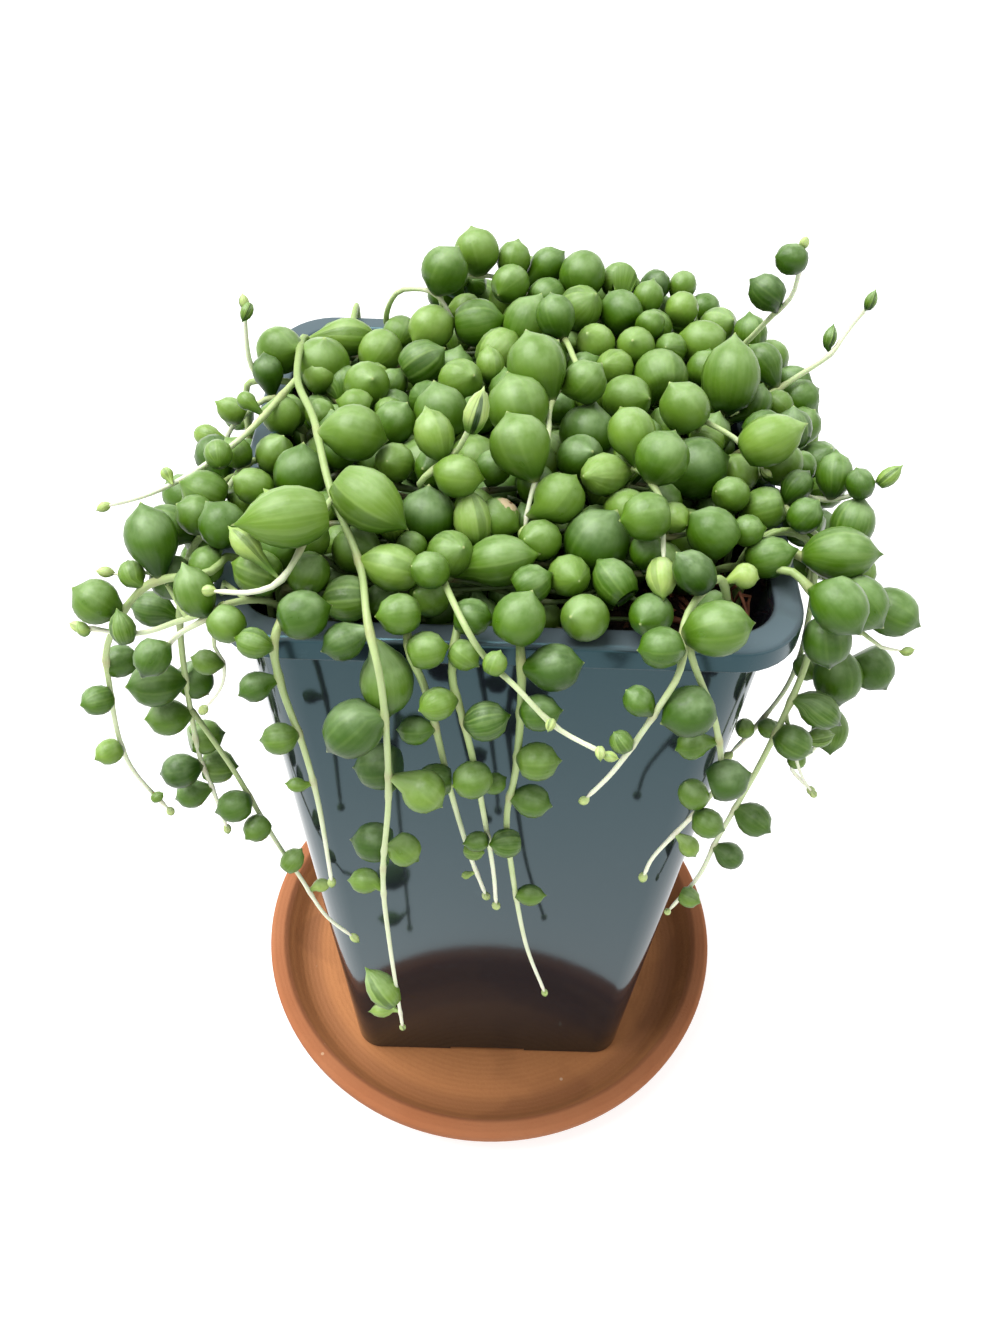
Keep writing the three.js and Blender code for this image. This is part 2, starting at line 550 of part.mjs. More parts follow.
// Lays a row's stem beneath its settled pearls, and hangs lower pearls in its wide gaps
function layRow(grown, draw) {
  const knots = grown.knotted.map((p) => new THREE.Vector3(
    THREE.MathUtils.clamp(p.centre.x, -ROW_REACH, ROW_REACH),
    THREE.MathUtils.clamp(p.centre.y, -ROW_REACH, ROW_REACH),
    p.centre.z - p.width / 2 - ROW_STEM_DROP));
  const start = new THREE.Vector3(knots[0].x, knots[0].y, ROOT_HEIGHT);
  const route = smoothRoute([start, ...knots].map((knot) => knot.toArray()));
  grown.knotted.forEach((p, index) => {
    p.foot = nearestOn(route, knots[index]);
  });
  const lower = [];
  let side = 1;
  for (let i = 1; i < knots.length; i += 1) {
    const [before, after] = [grown.knotted[i - 1].foot, grown.knotted[i].foot];
    if (after.distanceTo(before) < UNDER_GAP) continue;
    const foot = nearestOn(route, after.clone().lerp(before, 0.5));
    const width = UNDER_WIDTH + UNDER_SPREAD * draw();
    const centre = foot.clone().add(new THREE.Vector3(0, side * (width / 2 + NECK), 1));
    lower.push({ foot, centre, width, stretch: STRETCH });
    side = -side;
  }
  grown.routes.push({ route, thick: STEM_RADIUS });
  return lower;
}

// A shoot's stem starts under the nearest pearl of its row
function layShoot(grown, shoot) {
  const start = new THREE.Vector3(...shoot.stem[0]);
  const feet = grown.knotted.map((p) => p.foot);
  const nearest = feet.reduce((a, b) => (a.distanceTo(start) < b.distanceTo(start) ? a : b));
  const route = smoothRoute([nearest.toArray(), ...shoot.stem]);
  grown.pearls.filter((p) => p.shoot === shoot).forEach((p) => {
    p.foot = nearestOn(route, p.foot);
  });
  grown.routes.push({ route, thick: BRANCH_RADIUS });
}

// Grows the whole plant and returns, for each strand, its routes and its pearls
function growPlant() {
  const draw = makeDraw(2024);
  const plant = new Map();
  const pearls = [];
  const stemBalls = [];
  const addStrand = (strand) => {
    const grown = { routes: [], pearls: [], knotted: [] };
    plant.set(strand, grown);
    return grown;
  };
  const addPearls = (strand, more) => more.forEach((p) => {
    p.strand = strand;
    plant.get(strand).pearls.push(p);
    pearls.push(p);
  });
  const addRoute = (strand, route, thick) => {
    plant.get(strand).routes.push({ route, thick });
    stemBalls.push(...ballsAlong(route, STEM_RADIUS, strand));
  };
  for (const [strand, runs] of Object.entries(STRANDS)) {
    addStrand(strand);
    runs.forEach((run, index) => {
      const route = smoothRoute(run.stem);
      addRoute(strand, route, index ? BRANCH_RADIUS : STEM_RADIUS);
      addPearls(strand, run.pearls.map((entry) => pearlOnStem(route, entry)));
    });
  }
  for (const [strand, rule] of Object.entries(HIDDEN_STRANDS)) {
    addStrand(strand);
    const run = hangingRun(rule, draw);
    addRoute(strand, run.route, STEM_RADIUS);
    addPearls(strand, run.pearls);
  }
  for (const [strand, row] of Object.entries(ROWS)) {
    const grown = addStrand(strand);
    grown.knotted = row.pearls.map(([x, y, width, stretch = STRETCH]) => {
      const centre = new THREE.Vector3(x, y, moundHeight(x, y));
      return { centre, home: centre.clone(), width, stretch, give: 1 };
    });
    addPearls(strand, grown.knotted);
    for (const shoot of row.shoots ?? []) {
      const route = smoothRoute(shoot.stem);
      stemBalls.push(...ballsAlong(route, BRANCH_RADIUS, strand));
      addPearls(strand, shoot.pearls.map((entry) => ({ ...pearlOnStem(route, entry), shoot })));
    }
  }
  settle(pearls, stemBalls);
  for (const [strand, row] of Object.entries(ROWS)) {
    const grown = plant.get(strand);
    addPearls(strand, layRow(grown, draw));
    for (const shoot of row.shoots ?? []) layShoot(grown, shoot);
    for (const { route, thick } of grown.routes) stemBalls.push(...ballsAlong(route, thick, strand));
  }
  const kept = makeRoom(pearls, stemBalls);
  for (const grown of plant.values()) {
    grown.pearls = grown.pearls.filter((p) => kept.includes(p));
  }
  return plant;
}

// Joins rings of points into a closed skin, with the first and last ring filled
function skin(rings) {
  const size = rings[0].length;
  const geometry = new THREE.BufferGeometry();
  geometry.setAttribute('position', new THREE.Float32BufferAttribute(rings.flat(2), 3));
  const index = [];
  for (let k = 0; k < rings.length - 1; k += 1) {
    for (let i = 0; i < size; i += 1) {
      const a = k * size + i;
      const b = k * size + ((i + 1) % size);
      index.push(a, b, b + size, a, b + size, a + size);
    }
  }
  const last = (rings.length - 1) * size;
  for (let i = 1; i < size - 1; i += 1) {
    index.push(0, i + 1, i, last, last + i, last + i + 1);
  }
  geometry.setIndex(index);
  return geometry;
}

// A square ring with round corners, its middle on the Z axis
function squareRing(half, corner, z) {
  const ring = [];
  const inset = half - corner;
  for (let quarter = 0; quarter < 4; quarter += 1) {
    const middle = (quarter + 0.5) * Math.PI / 2;
    for (let step = 0; step <= CORNER_STEPS; step += 1) {
      const angle = (quarter + step / CORNER_STEPS) * Math.PI / 2;
      ring.push([
        Math.sign(Math.cos(middle)) * inset + Math.cos(angle) * corner,
        Math.sign(Math.sin(middle)) * inset + Math.sin(angle) * corner,
        z,
      ]);
    }
  }
  return ring;
}

function toSolid(geometry) {
  const bare = geometry.clone();
  bare.deleteAttribute('normal');
  bare.deleteAttribute('uv');
  const merged = mergeVertices(bare, GRID / 20);
  return new wasm.Manifold(new wasm.Mesh({
    numProp: 3,
    vertProperties: new Float32Array(merged.attributes.position.array),
    triVerts: new Uint32Array(merged.index.array),
  }));
}

// Points are rounded to the grid, so that no two of them are nearly the same, and a triangle
// that closes up to a line by that is left out
function toGeometry(solid) {
  const mesh = solid.getMesh();
  const places = Float32Array.from(mesh.vertProperties, (v) => Math.round(v / GRID) * GRID);
  const rounded = new THREE.BufferGeometry();
  rounded.setAttribute('position', new THREE.BufferAttribute(places, 3));
  rounded.setIndex([...mesh.triVerts]);
  const merged = mergeVertices(rounded, GRID / 10);
  const old = merged.index.array;
  const index = [];
  for (let i = 0; i < old.length; i += 3) {
    const [a, b, c] = old.slice(i, i + 3);
    if (a !== b && b !== c && c !== a) index.push(a, b, c);
  }
  merged.setIndex(index);
  return merged;
}

// A thin shell: up the outside, under and over the rolled rim, and down the inside to the floor
function makePot() {
  const rimLow = RIM_TOP - RIM_DROP;
  const underRim = RIM_TOP - POT_WALL;
  const body = (z, inset = 0) => squareRing(bodyHalfAt(z) - inset, bodyCornerAt(z) - inset, z);
  const rim = (z, inset = 0) => squareRing(RIM_HALF - inset, RIM_CORNER - inset, z);
  let pot = toSolid(skin([
    body(SAUCER_FLOOR + FOOT_HEIGHT, POT_WALL),
    body(SAUCER_FLOOR, POT_WALL),
    body(SAUCER_FLOOR),
    body(underRim),
    rim(underRim, POT_WALL),
    rim(rimLow, POT_WALL),
    rim(rimLow),
    rim(RIM_TOP - RIM_ROUND),
    rim(RIM_TOP, RIM_ROUND),
    squareRing(RIM_INNER_HALF, MOUTH_CORNER, RIM_TOP),
    body(RIM_TOP - RIM_SEAT, POT_WALL),
    body(POT_FLOOR, POT_WALL),
  ]));
  for (const [x, y] of [[0, 0], [1, 1], [1, -1], [-1, 1], [-1, -1]]) {
    const drain = new THREE.CylinderGeometry(DRAIN_RADIUS, DRAIN_RADIUS, 3 * POT_FLOOR, DRAIN_SIDES);
    drain.rotateX(Math.PI / 2).translate(x * DRAIN_SPACING, y * DRAIN_SPACING, POT_FLOOR / 2);
    pot = pot.subtract(toSolid(drain));
  }
  for (let side = 0; side < 4; side += 1) {
    const notch = new THREE.BoxGeometry(NOTCH_WIDTH, 6 * POT_WALL, 2 * NOTCH_HEIGHT);
    notch.translate(0, FOOT_HALF, SAUCER_FLOOR).rotateZ(side * Math.PI / 2);
    pot = pot.subtract(toSolid(notch));
  }
  return toGeometry(pot);
}

function makeSaucer() {
  const inner = SAUCER_RADIUS - SAUCER_WALL;
  const turn = SAUCER_FOOT_RADIUS + SAUCER_FOOT_ROUND;
  const lip = SAUCER_LIP_ROUND;
  const profile = [
    [0, 0],
    [SAUCER_FOOT_RADIUS, 0],
    [turn, SAUCER_FOOT_ROUND / 2],
    [SAUCER_RADIUS - SAUCER_WALL_LEAN, SAUCER_HEIGHT - SAUCER_WALL],
    [SAUCER_RADIUS, SAUCER_HEIGHT - lip],
    [SAUCER_RADIUS - lip, SAUCER_HEIGHT],
    [inner + lip, SAUCER_HEIGHT],
    [inner, SAUCER_HEIGHT - lip],
    [turn, SAUCER_FLOOR + lip],
    [turn - 2 * lip, SAUCER_FLOOR],
    [0, SAUCER_FLOOR],
  ].map(([r, z]) => new THREE.Vector2(r, z));
  const geometry = new THREE.LatheGeometry(profile, SAUCER_SIDES);
  geometry.rotateX(Math.PI / 2);
  return toGeometry(toSolid(geometry));
}

// The soil fills the pot, with a plain square hole down for each stem
function makeSoil(roots) {
  const inset = POT_WALL + SOIL_GAP;
  const body = (z) => squareRing(bodyHalfAt(z) - inset, bodyCornerAt(z) - inset, z);
  const hill = ({ share, rise }) => (
    squareRing(bodyHalfAt(SOIL_EDGE) * share - inset, MOUTH_CORNER * share, SOIL_EDGE + rise));
  let soil = toSolid(skin([body(POT_FLOOR), body(SOIL_EDGE), hill(SOIL_SHOULDER), hill(SOIL_CREST)]));
  const depth = RIM_TOP - HOLE_FLOOR;
  for (const [x, y] of roots) {
    const hole = new THREE.BoxGeometry(2 * HOLE_HALF, 2 * HOLE_HALF, depth);
    hole.translate(x, y, HOLE_FLOOR + depth / 2);
    soil = soil.subtract(toSolid(hole));
  }
  return toGeometry(soil);
}

// The place nearest to a point on the middle lines of the stems
function nearestOnStems(stems, point) {
  let best = null;
  for (const { middles } of stems) {
    for (let i = 1; i < middles.length; i += 1) {
      const spot = new THREE.Line3(middles[i - 1], middles[i])
        .closestPointToPoint(point, true, new THREE.Vector3());
      if (!best || spot.distanceTo(point) < best.distanceTo(point)) best = spot;
    }
  }
  return best;
}

// A stem of a few flat sides, thinner towards its tip. The first of a strand goes straight down into
// its hole in the soil, and a branch starts from the middle line of the stems before it.
function makeStem(route, thick, earlier) {
  const count = Math.max(3, Math.ceil(route.length / STEM_STEP));
  const rings = [];
  const middles = [];
  const across = new THREE.Vector3(1, 0, 0);
  for (let k = 0; k <= count; k += 1) {
    const d = route.length * k / count;
    const branches = k === 0 && earlier.length > 0;
    const middle = branches ? nearestOnStems(earlier, pointAt(route, 0)) : pointAt(route, d);
    const along = pointAt(route, d + 0.5).sub(pointAt(route, d - 0.5)).normalize();
    across.addScaledVector(along, -across.dot(along)).normalize();
    const third = along.clone().cross(across);
    const radius = stemRadius(k / count, thick);
    const ring = [];
    for (let i = 0; i < STEM_SIDES; i += 1) {
      const angle = (i + 0.5) / STEM_SIDES * 2 * Math.PI;
      const p = middle.clone()
        .addScaledVector(across, Math.cos(angle) * radius)
        .addScaledVector(third, Math.sin(angle) * radius);
      ring.push(p.toArray());
    }
    rings.push(ring);
    middles.push(middle);
  }
  if (!earlier.length) rings.unshift(rings[0].map(([x, y]) => [x, y, HOLE_FLOOR + SOIL_GAP]));
  return { solid: toSolid(skin(rings)), middles };
}

function pearlSides(width) {
  if (width > WIDE_PEARL.over) return WIDE_PEARL.sides;
  return width > MIDDLE_PEARL.over ? MIDDLE_PEARL.sides : SMALL_PEARL_SIDES;
}

// A pearl: a round berry of a leaf, drawn out to a stalk on its stem and to a small point opposite
function makePearl(p, foot) {
  const belly = p.width / 2;
  const half = belly * p.stretch;
  const sections = p.width > BUD_WIDTH ? PEARL_SECTIONS : BUD_SECTIONS;
  const profile = [
    new THREE.Vector2(0, -p.centre.distanceTo(foot) - STALK_SINK),
    ...sections.map(([z, r]) => new THREE.Vector2(r * belly, z * half)),
    new THREE.Vector2(0, half * POINT_REACH),
  ];
  const geometry = new THREE.LatheGeometry(profile, pearlSides(p.width));
  const axis = p.centre.clone().sub(foot).normalize();
  geometry.applyQuaternion(new THREE.Quaternion().setFromUnitVectors(new THREE.Vector3(0, 1, 0), axis));
  geometry.translate(p.centre.x, p.centre.y, p.centre.z);
  return toSolid(geometry);
}

function makeStrand({ routes, pearls }) {
  const stems = [];
  for (const { route, thick } of routes) stems.push(makeStem(route, thick, stems));
  let strand = stems[0].solid;
  for (const stem of stems.slice(1)) strand = strand.add(stem.solid);
  for (const p of pearls) strand = strand.add(makePearl(p, nearestOnStems(stems, p.foot)));
  return toGeometry(strand);
}

const FINISHES = {
  pot: { color: '#50647a', roughness: 0.35, metalness: 0 },
  saucer: { color: '#bd7348', roughness: 0.85, metalness: 0 },
  soil: { color: '#2a1d15', roughness: 1, metalness: 0 },
  plant: { color: '#5f9238', roughness: 0.4, metalness: 0 },
};

function named(name, geometry, finish) {
  geometry.computeVertexNormals();
  const mesh = new THREE.Mesh(geometry, new THREE.MeshStandardMaterial(finish));
  mesh.name = name;
  return mesh;
}

const plant = growPlant();
const roots = [...plant.values()].map((grown) => grown.routes[0].route.steps[0].toArray());

const model = new THREE.Group();
model.add(named('saucer', makeSaucer(), FINISHES.saucer));
model.add(named('pot', makePot(), FINISHES.pot));
model.add(named('soil', makeSoil(roots), FINISHES.soil));
for (const [name, grown] of plant) {
  model.add(named(name, makeStrand(grown), FINISHES.plant));
}

export default model;
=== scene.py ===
"""Potted string of pearls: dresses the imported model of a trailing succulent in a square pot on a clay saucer.

The plant is grown again by the rule that shaped its solids, with finer pearls and stems and with the lower
pearls that the solids leave out. All lengths in this file are millimetres until a mesh is made.
"""

import logging
import math
import random
from dataclasses import dataclass, field
from enum import Enum
from typing import Iterable, Mapping, Optional, Sequence, Union

import bpy
from mathutils import Matrix, Vector, noise


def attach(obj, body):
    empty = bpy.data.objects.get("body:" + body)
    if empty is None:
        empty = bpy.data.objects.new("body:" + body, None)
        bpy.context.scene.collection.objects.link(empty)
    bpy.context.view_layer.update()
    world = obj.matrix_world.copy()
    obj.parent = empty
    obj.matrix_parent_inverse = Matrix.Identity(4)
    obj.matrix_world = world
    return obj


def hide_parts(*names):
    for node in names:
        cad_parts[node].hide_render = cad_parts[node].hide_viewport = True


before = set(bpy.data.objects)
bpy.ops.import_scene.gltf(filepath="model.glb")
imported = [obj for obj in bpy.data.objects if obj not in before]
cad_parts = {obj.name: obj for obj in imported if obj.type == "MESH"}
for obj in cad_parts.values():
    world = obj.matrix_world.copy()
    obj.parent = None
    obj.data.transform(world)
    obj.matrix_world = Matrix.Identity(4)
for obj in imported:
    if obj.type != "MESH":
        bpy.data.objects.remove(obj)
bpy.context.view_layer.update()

LOG = logging.getLogger("pearls")
MM = 0.001
BODY = "root"

Point = Sequence[float]
Colour = tuple[float, float, float]
Socket = bpy.types.NodeSocket
Piece = bpy.types.Object
Material = bpy.types.Material
Tree = bpy.types.NodeTree

# Saucer
SAUCER_RADIUS = 56.7
SAUCER_FOOT_RADIUS = 45.5
SAUCER_HEIGHT = 12.5
SAUCER_FLOOR = 5.0
SAUCER_WALL = 4.4
SAUCER_INNER = SAUCER_RADIUS - SAUCER_WALL

# Pot
RIM_TOP = 160.0
RIM_HALF = 45.0
RIM_DROP = 4.5
RIM_INNER_HALF = 40.7
POT_TOP_HALF = 41.6
FOOT_HALF = 32.0
FOOT_HEIGHT = 1.7
POT_WALL = 1.2
FLOOR_THICKNESS = 1.3
POT_FLOOR = SAUCER_FLOOR + FOOT_HEIGHT + FLOOR_THICKNESS
RIM_CORNER = 11.0
BODY_CORNER = 9.0
MOUTH_CORNER = 8.0
FOOT_CORNER = 6.0

# Soil
SOIL_EDGE = 147.0
SOIL_SHOULDER = (0.7, 4.0)
SOIL_CREST = (0.3, 7.0)
SOIL_GAP = 0.3

# Stems
STEM_RADIUS = 1.0
BRANCH_RADIUS = 0.8
TIP_RADIUS = 0.5
SPRIG_RADIUS = 0.6
FINE_TIP = 0.3
ROOT_HEIGHT = 149.0
RIM_RISE = ((37.0, ROOT_HEIGHT), (37.6, 159.0), (42.0, 164.0))
CURVE_STEPS = 12

# How finely and in what shape the stems and pearls are drawn: pearls over the fine width get a finer ball
FINE_WIDTH = 6.4
STEM_TRIM = 0.7
KNOT_SWELL = 0.35
KNOT_WIDTH = 1.1
RING_SHARE = 0.67
NECK_SHARE = 0.28
TIP_SHARE = 0.18
POINT_DRAW = 0.15

# Pearls: a pearl's width is across its belly, and its length is its width times its stretch
STRETCH = 1.1
NECK = 0.8
STALK_SINK = 0.4
POINT_REACH = 1.15

# How pearls make room for each other
CLEARANCE = 0.3
RELAX_ROUNDS = 60
FREE_ROUNDS = 10
HOMING = 0.06
PAIR_REACH = 16.0
BALL_SPACING = 1.5
SHRINK_STEP = 0.08
SMALLEST_SHARE = 0.6

# The mound: how high the middles of its pearls lie, with a bulge at the back and a dip beside it
MOUND_EDGE = 163.0
MOUND_RISE = 8.0
MOUND_HALF = 46.0
MOUND_FALL = 2.6
MOUND_HUMPS = ((9.0, 10.0, 44.0, 24.0, 15.0), (-5.0, -28.0, 32.0, 18.0, 18.0))
ROW_REACH = 34.5
ROW_STEM_DROP = 1.6
UNDER_GAP = 10.5
UNDER_WIDTH = 5.5
UNDER_SPREAD = 1.5
BUD_WIDTH = 1.3
BUD_SPREAD = 0.5

# A clock angle is read as someone sees it who looks along +Y and down at 46 degrees
LOOK_DOWN = math.radians(46.0)
CAMERA_PLACE = (-3.1, -167.5, 283.6)
RIGHT = Vector((1.0, 0.0, 0.0))
UPWARD = Vector((0.0, math.sin(LOOK_DOWN), math.cos(LOOK_DOWN)))
TOWARDS = Vector((0.0, -math.cos(LOOK_DOWN), math.sin(LOOK_DOWN)))


class Term:
    """A number that varies over a surface: the output of a node, with Python's operators."""

    def __init__(self, bench: "Bench", socket: Socket) -> None:
        """Wraps a socket that gives one number, in the tree of a bench."""
        self.bench = bench
        self.socket = socket

    def __add__(self, other: "Number") -> "Term":
        """The sum."""
        return self.bench.math("ADD", self, other)

    def __sub__(self, other: "Number") -> "Term":
        """The difference."""
        return self.bench.math("SUBTRACT", self, other)

    def __rsub__(self, other: "Number") -> "Term":
        """The difference, from a plain number."""
        return self.bench.math("SUBTRACT", other, self)

    def __mul__(self, other: "Number") -> "Term":
        """The product."""
        return self.bench.math("MULTIPLY", self, other)

    def __truediv__(self, other: "Number") -> "Term":
        """The quotient."""
        return self.bench.math("DIVIDE", self, other)

    def __rtruediv__(self, other: "Number") -> "Term":
        """The quotient, of a plain number."""
        return self.bench.math("DIVIDE", other, self)

    def __pow__(self, other: "Number") -> "Term":
        """The power."""
        return self.bench.math("POWER", self, other)

    __radd__ = __add__
    __rmul__ = __mul__

    def sin(self) -> "Term":
        """The sine of an angle in radians."""
        return self.bench.math("SINE", self)

    def size(self) -> "Term":
        """The number without its sign."""
        return self.bench.math("ABSOLUTE", self)

    def rise(self, low: float, high: float) -> "Term":
        """Goes smoothly from 0 to 1 between two values.

        Args:
            low: where it starts to rise.
            high: where it is full. It may be the lower value, and the step then falls.

        Returns:
            The smooth step.
        """
        flip = high < low
        ends = (high, low) if flip else (low, high)
        settings = {"interpolation_type": "SMOOTHSTEP"}
        node = self.bench.node("ShaderNodeMapRange", settings, {
            "Value": self, "From Min": ends[0], "From Max": ends[1],
            "To Min": float(flip), "To Max": float(not flip)})
        return Term(self.bench, node.outputs["Result"])


Number = Union[Term, float]


class Bench:
    """Adds nodes to one tree, of a material or of Geometry Nodes."""

    def __init__(self, tree: Tree) -> None:
        """Keeps the tree that gets the nodes."""
        self.tree = tree

    def node(self, kind: str, settings: Optional[Mapping[str, object]] = None,
             sockets: Optional[Mapping[object, object]] = None) -> bpy.types.Node:
        """Adds a node, sets it, and then fills its sockets.

        Args:
            kind: the node's type.
            settings: its own settings. "stops" holds a ramp's places and colours.
            sockets: a value or link for each input, by its identifier, name or index.

        Returns:
            The node.
        """
        made = self.tree.nodes.new(kind)
        for name, value in (settings or {}).items():
            if name == "stops":
                self._fill_ramp(made.color_ramp, value)
            else:
                setattr(made, name, value)
        for key, value in (sockets or {}).items():
            socket = self.find(made.inputs, key)
            value = value.socket if isinstance(value, Term) else value
            if isinstance(value, Socket):
                self.tree.links.new(value, socket)
            else:
                socket.default_value = value
        return made

    @staticmethod
    def _fill_ramp(ramp: bpy.types.ColorRamp, stops: Sequence[tuple[float, Colour]]) -> None:
        """Gives a ramp its stops.

        Args:
            ramp: the ramp.
            stops: the place and the colour of each, from low to high.
        """
        while len(ramp.elements) < len(stops):
            ramp.elements.new(1.0)
        for element, (place, colour) in zip(ramp.elements, stops):
            element.position = place
            element.color = (*colour, 1.0)

    @staticmethod
    def find(sockets: bpy.types.NodeInputs, key: object) -> Socket:
        """Finds a socket of a node.

        Args:
            sockets: the node's inputs or outputs.
            key: its index, its identifier or its name.

        Returns:
            The socket.
        """
        if isinstance(key, int):
            return sockets[key]
        for socket in sockets:
            if socket.identifier == key:
                return socket
        return next(s for s in sockets if s.name == key and s.enabled)

    def math(self, operation: str, *values: Number) -> Term:
        """One step of arithmetic on numbers that vary."""
        node = self.node("ShaderNodeMath", {"operation": operation}, dict(enumerate(values)))
        return Term(self, node.outputs[0])

    def vector(self, operation: str, sockets: Mapping[object, object]) -> Socket:
        """One step of arithmetic on vectors."""
        return self.node("ShaderNodeVectorMath", {"operation": operation}, sockets).outputs["Vector"]

    def gap(self, first: object, second: object) -> Term:
        """How far one place lies from another."""
        node = self.node("ShaderNodeVectorMath", {"operation": "DISTANCE"}, {0: first, 1: second})
        return Term(self, node.outputs["Value"])

    def ramp(self, factor: Number, stops: Sequence[tuple[float, Colour]]) -> Socket:
        """A colour that follows a number through its stops."""
        return self.node("ShaderNodeValToRGB", {"stops": stops}, {"Fac": factor}).outputs["Color"]

    def blend(self, factor: Number, low: object, high: object, mode: str = "MIX") -> Socket:
        """Mixes two colours.

        Args:
            factor: how much of the second shows.
            low: the first, or its link.
            high: the second, or its link.
            mode: how they mix.

        Returns:
            The mixed colour.
        """
        first, second = ((*end, 1.0) if isinstance(end, tuple) else end for end in (low, high))
        settings = {"data_type": "RGBA", "blend_type": mode, "clamp_factor": True}
        node = self.node("ShaderNodeMix", settings, {
            "Factor_Float": factor, "A_Color": first, "B_Color": second})
        return self.find(node.outputs, "Result_Color")

    def split(self, vector: Socket) -> tuple[Term, Term, Term]:
        """The three numbers of a vector."""
        node = self.node("ShaderNodeSeparateXYZ", {}, {"Vector": vector})
        return tuple(Term(self, s) for s in node.outputs)


class MaterialBench(Bench):
    """A bench for a material, which ends in one Principled shader."""

    def __init__(self, name: str) -> None:
        """Starts a material.

        Args:
            name: the material's name.
        """
        self.material = bpy.data.materials.new(name)
        self.material.use_nodes = True
        self.material.node_tree.nodes.clear()
        super().__init__(self.material.node_tree)
        self.places = self.node("ShaderNodeTexCoord").outputs["Object"]

    def attribute(self, name: str) -> Term:
        """A number that the mesh holds."""
        node = self.node("ShaderNodeAttribute", {"attribute_name": name})
        return Term(self, node.outputs["Fac"])

    def attribute_vector(self, name: str) -> Socket:
        """A vector that the mesh holds."""
        return self.node("ShaderNodeAttribute", {"attribute_name": name}).outputs["Vector"]

    def grain(self, per_mm: float, detail: float = 3.0, rough: float = 0.55,
              places: Optional[Socket] = None) -> Term:
        """Soft noise between 0 and 1.

        Args:
            per_mm: how many lumps lie on a millimetre.
            detail: how many finer layers it has.
            rough: how strong the finer layers are.
            places: where it is read, or None for the object's own places.

        Returns:
            The noise.
        """
        source = self.places if places is None else places
        scale = per_mm / MM if places is None else per_mm
        node = self.node("ShaderNodeTexNoise", {}, {
            "Vector": source, "Scale": scale, "Detail": detail, "Roughness": rough})
        return Term(self, node.outputs["Fac"])

    def specks(self, per_mm: float, share: float) -> Term:
        """Small round specks.

        Args:
            per_mm: how many cells lie on a millimetre.
            share: how wide a speck is in its cell.

        Returns:
            1 on a speck and 0 off it.
        """
        node = self.node("ShaderNodeTexVoronoi", {}, {"Vector": self.places, "Scale": per_mm / MM})
        chosen = self.split(node.outputs["Color"])[0].rise(0.7, 0.72)
        return Term(self, node.outputs["Distance"]).rise(share, share * 0.6) * chosen

    def bump(self, height: Term, depth: float) -> Socket:
        """Turns a height into a normal. Where the height is 1, it stands for the depth in millimetres."""
        node = self.node("ShaderNodeBump", {}, {"Height": height, "Strength": 1.0, "Distance": depth * MM})
        return node.outputs["Normal"]

    def finish(self, colour: object, rough: Number, relief: Optional[Socket],
               fixed: Mapping[str, object]) -> Material:
        """Adds the shader.

        Args:
            colour: its colour or the link of it.
            rough: its roughness.
            relief: the normal, or None for the plain one.
            fixed: plain values for its other sockets.

        Returns:
            The material.
        """
        sockets = {"Base Color": colour, "Roughness": rough, **fixed}
        if relief is not None:
            sockets["Normal"] = relief
        shader = self.node("ShaderNodeBsdfPrincipled", {}, sockets)
        self.node("ShaderNodeOutputMaterial", {}, {"Surface": shader.outputs["BSDF"]})
        return self.material


@dataclass(frozen=True)
class PlasticFinish:
    """Slate blue moulded plastic with a satin shine, scuffs, a little dust, and painted light on its rim."""

    deep: Colour = (0.010, 0.010, 0.015)
    # the paler colour of the rim: painted light
    pale: Colour = (0.012, 0.021, 0.030)
    # the colour of dust and scuffs, also used for the painted light on the rim's top face
    dust: Colour = (0.14, 0.18, 0.20)
    grit: Colour = (0.012, 0.012, 0.012)
    sheen_tint: Colour = (0.34, 0.87, 1.0)
    shine: float = 0.075
    scuff_scale: tuple[float, float, float] = (2600.0, 2600.0, 90.0)

    def material(self) -> Material:
        """Builds the material.

        Returns:
            The material.
        """
        bench = MaterialBench("slate_plastic")
        cloud = bench.grain(0.03)
        x, y, height = (part / MM for part in bench.split(bench.places))
        outer = bench.math("MAXIMUM", x.size(), y.size()).rise(RIM_INNER_HALF - 0.1, RIM_INNER_HALF + 0.7)
        top = height.rise(RIM_TOP - 0.8, RIM_TOP - 0.2)
        low = RIM_TOP - RIM_DROP
        rim = bench.math("MAXIMUM", top, outer * height.rise(low - 0.6, low + 0.4))
        stretch = bench.node("ShaderNodeMapping", {}, {
            "Vector": bench.places, "Rotation": (0.0, 0.0, 0.6), "Scale": self.scuff_scale}).outputs["Vector"]
        scuffs = bench.grain(1.0, 4.0, 0.6, stretch).rise(0.66, 0.76) * cloud.rise(0.45, 0.65)
        fine = bench.grain(2.2, 2.0)
        dust = bench.grain(0.25, 5.0, 0.7).rise(0.56, 0.8) * (rim * 0.3 + 0.25)
        # Painted light: the rim's top face and outer band are painted paler than the body, and the inner wall
        # of the mouth is left dark like the body
        colour = bench.blend(cloud * 0.3 + rim * 0.7, self.deep, self.pale)
        # The rim's top face is painted paler still with the dust colour, as painted light where it faces the
        # sky, mixed with real dust and scuffs
        colour = bench.blend(dust * 0.22 + scuffs * 0.06 + top * 0.6, colour, self.dust)
        colour = bench.blend(bench.specks(0.12, 0.11) * 0.8, colour, self.grit)
        rough = self.shine + cloud * 0.04 + scuffs * 0.10 + dust * 0.12 + rim * 0.12
        relief = bench.bump(fine * 0.4 + bench.grain(0.12, 2.0) * 1.5 + scuffs * 0.4, 0.006)
        return bench.finish(colour, rough, relief, {"IOR": 1.55, "Specular Tint": (*self.sheen_tint, 1.0)})


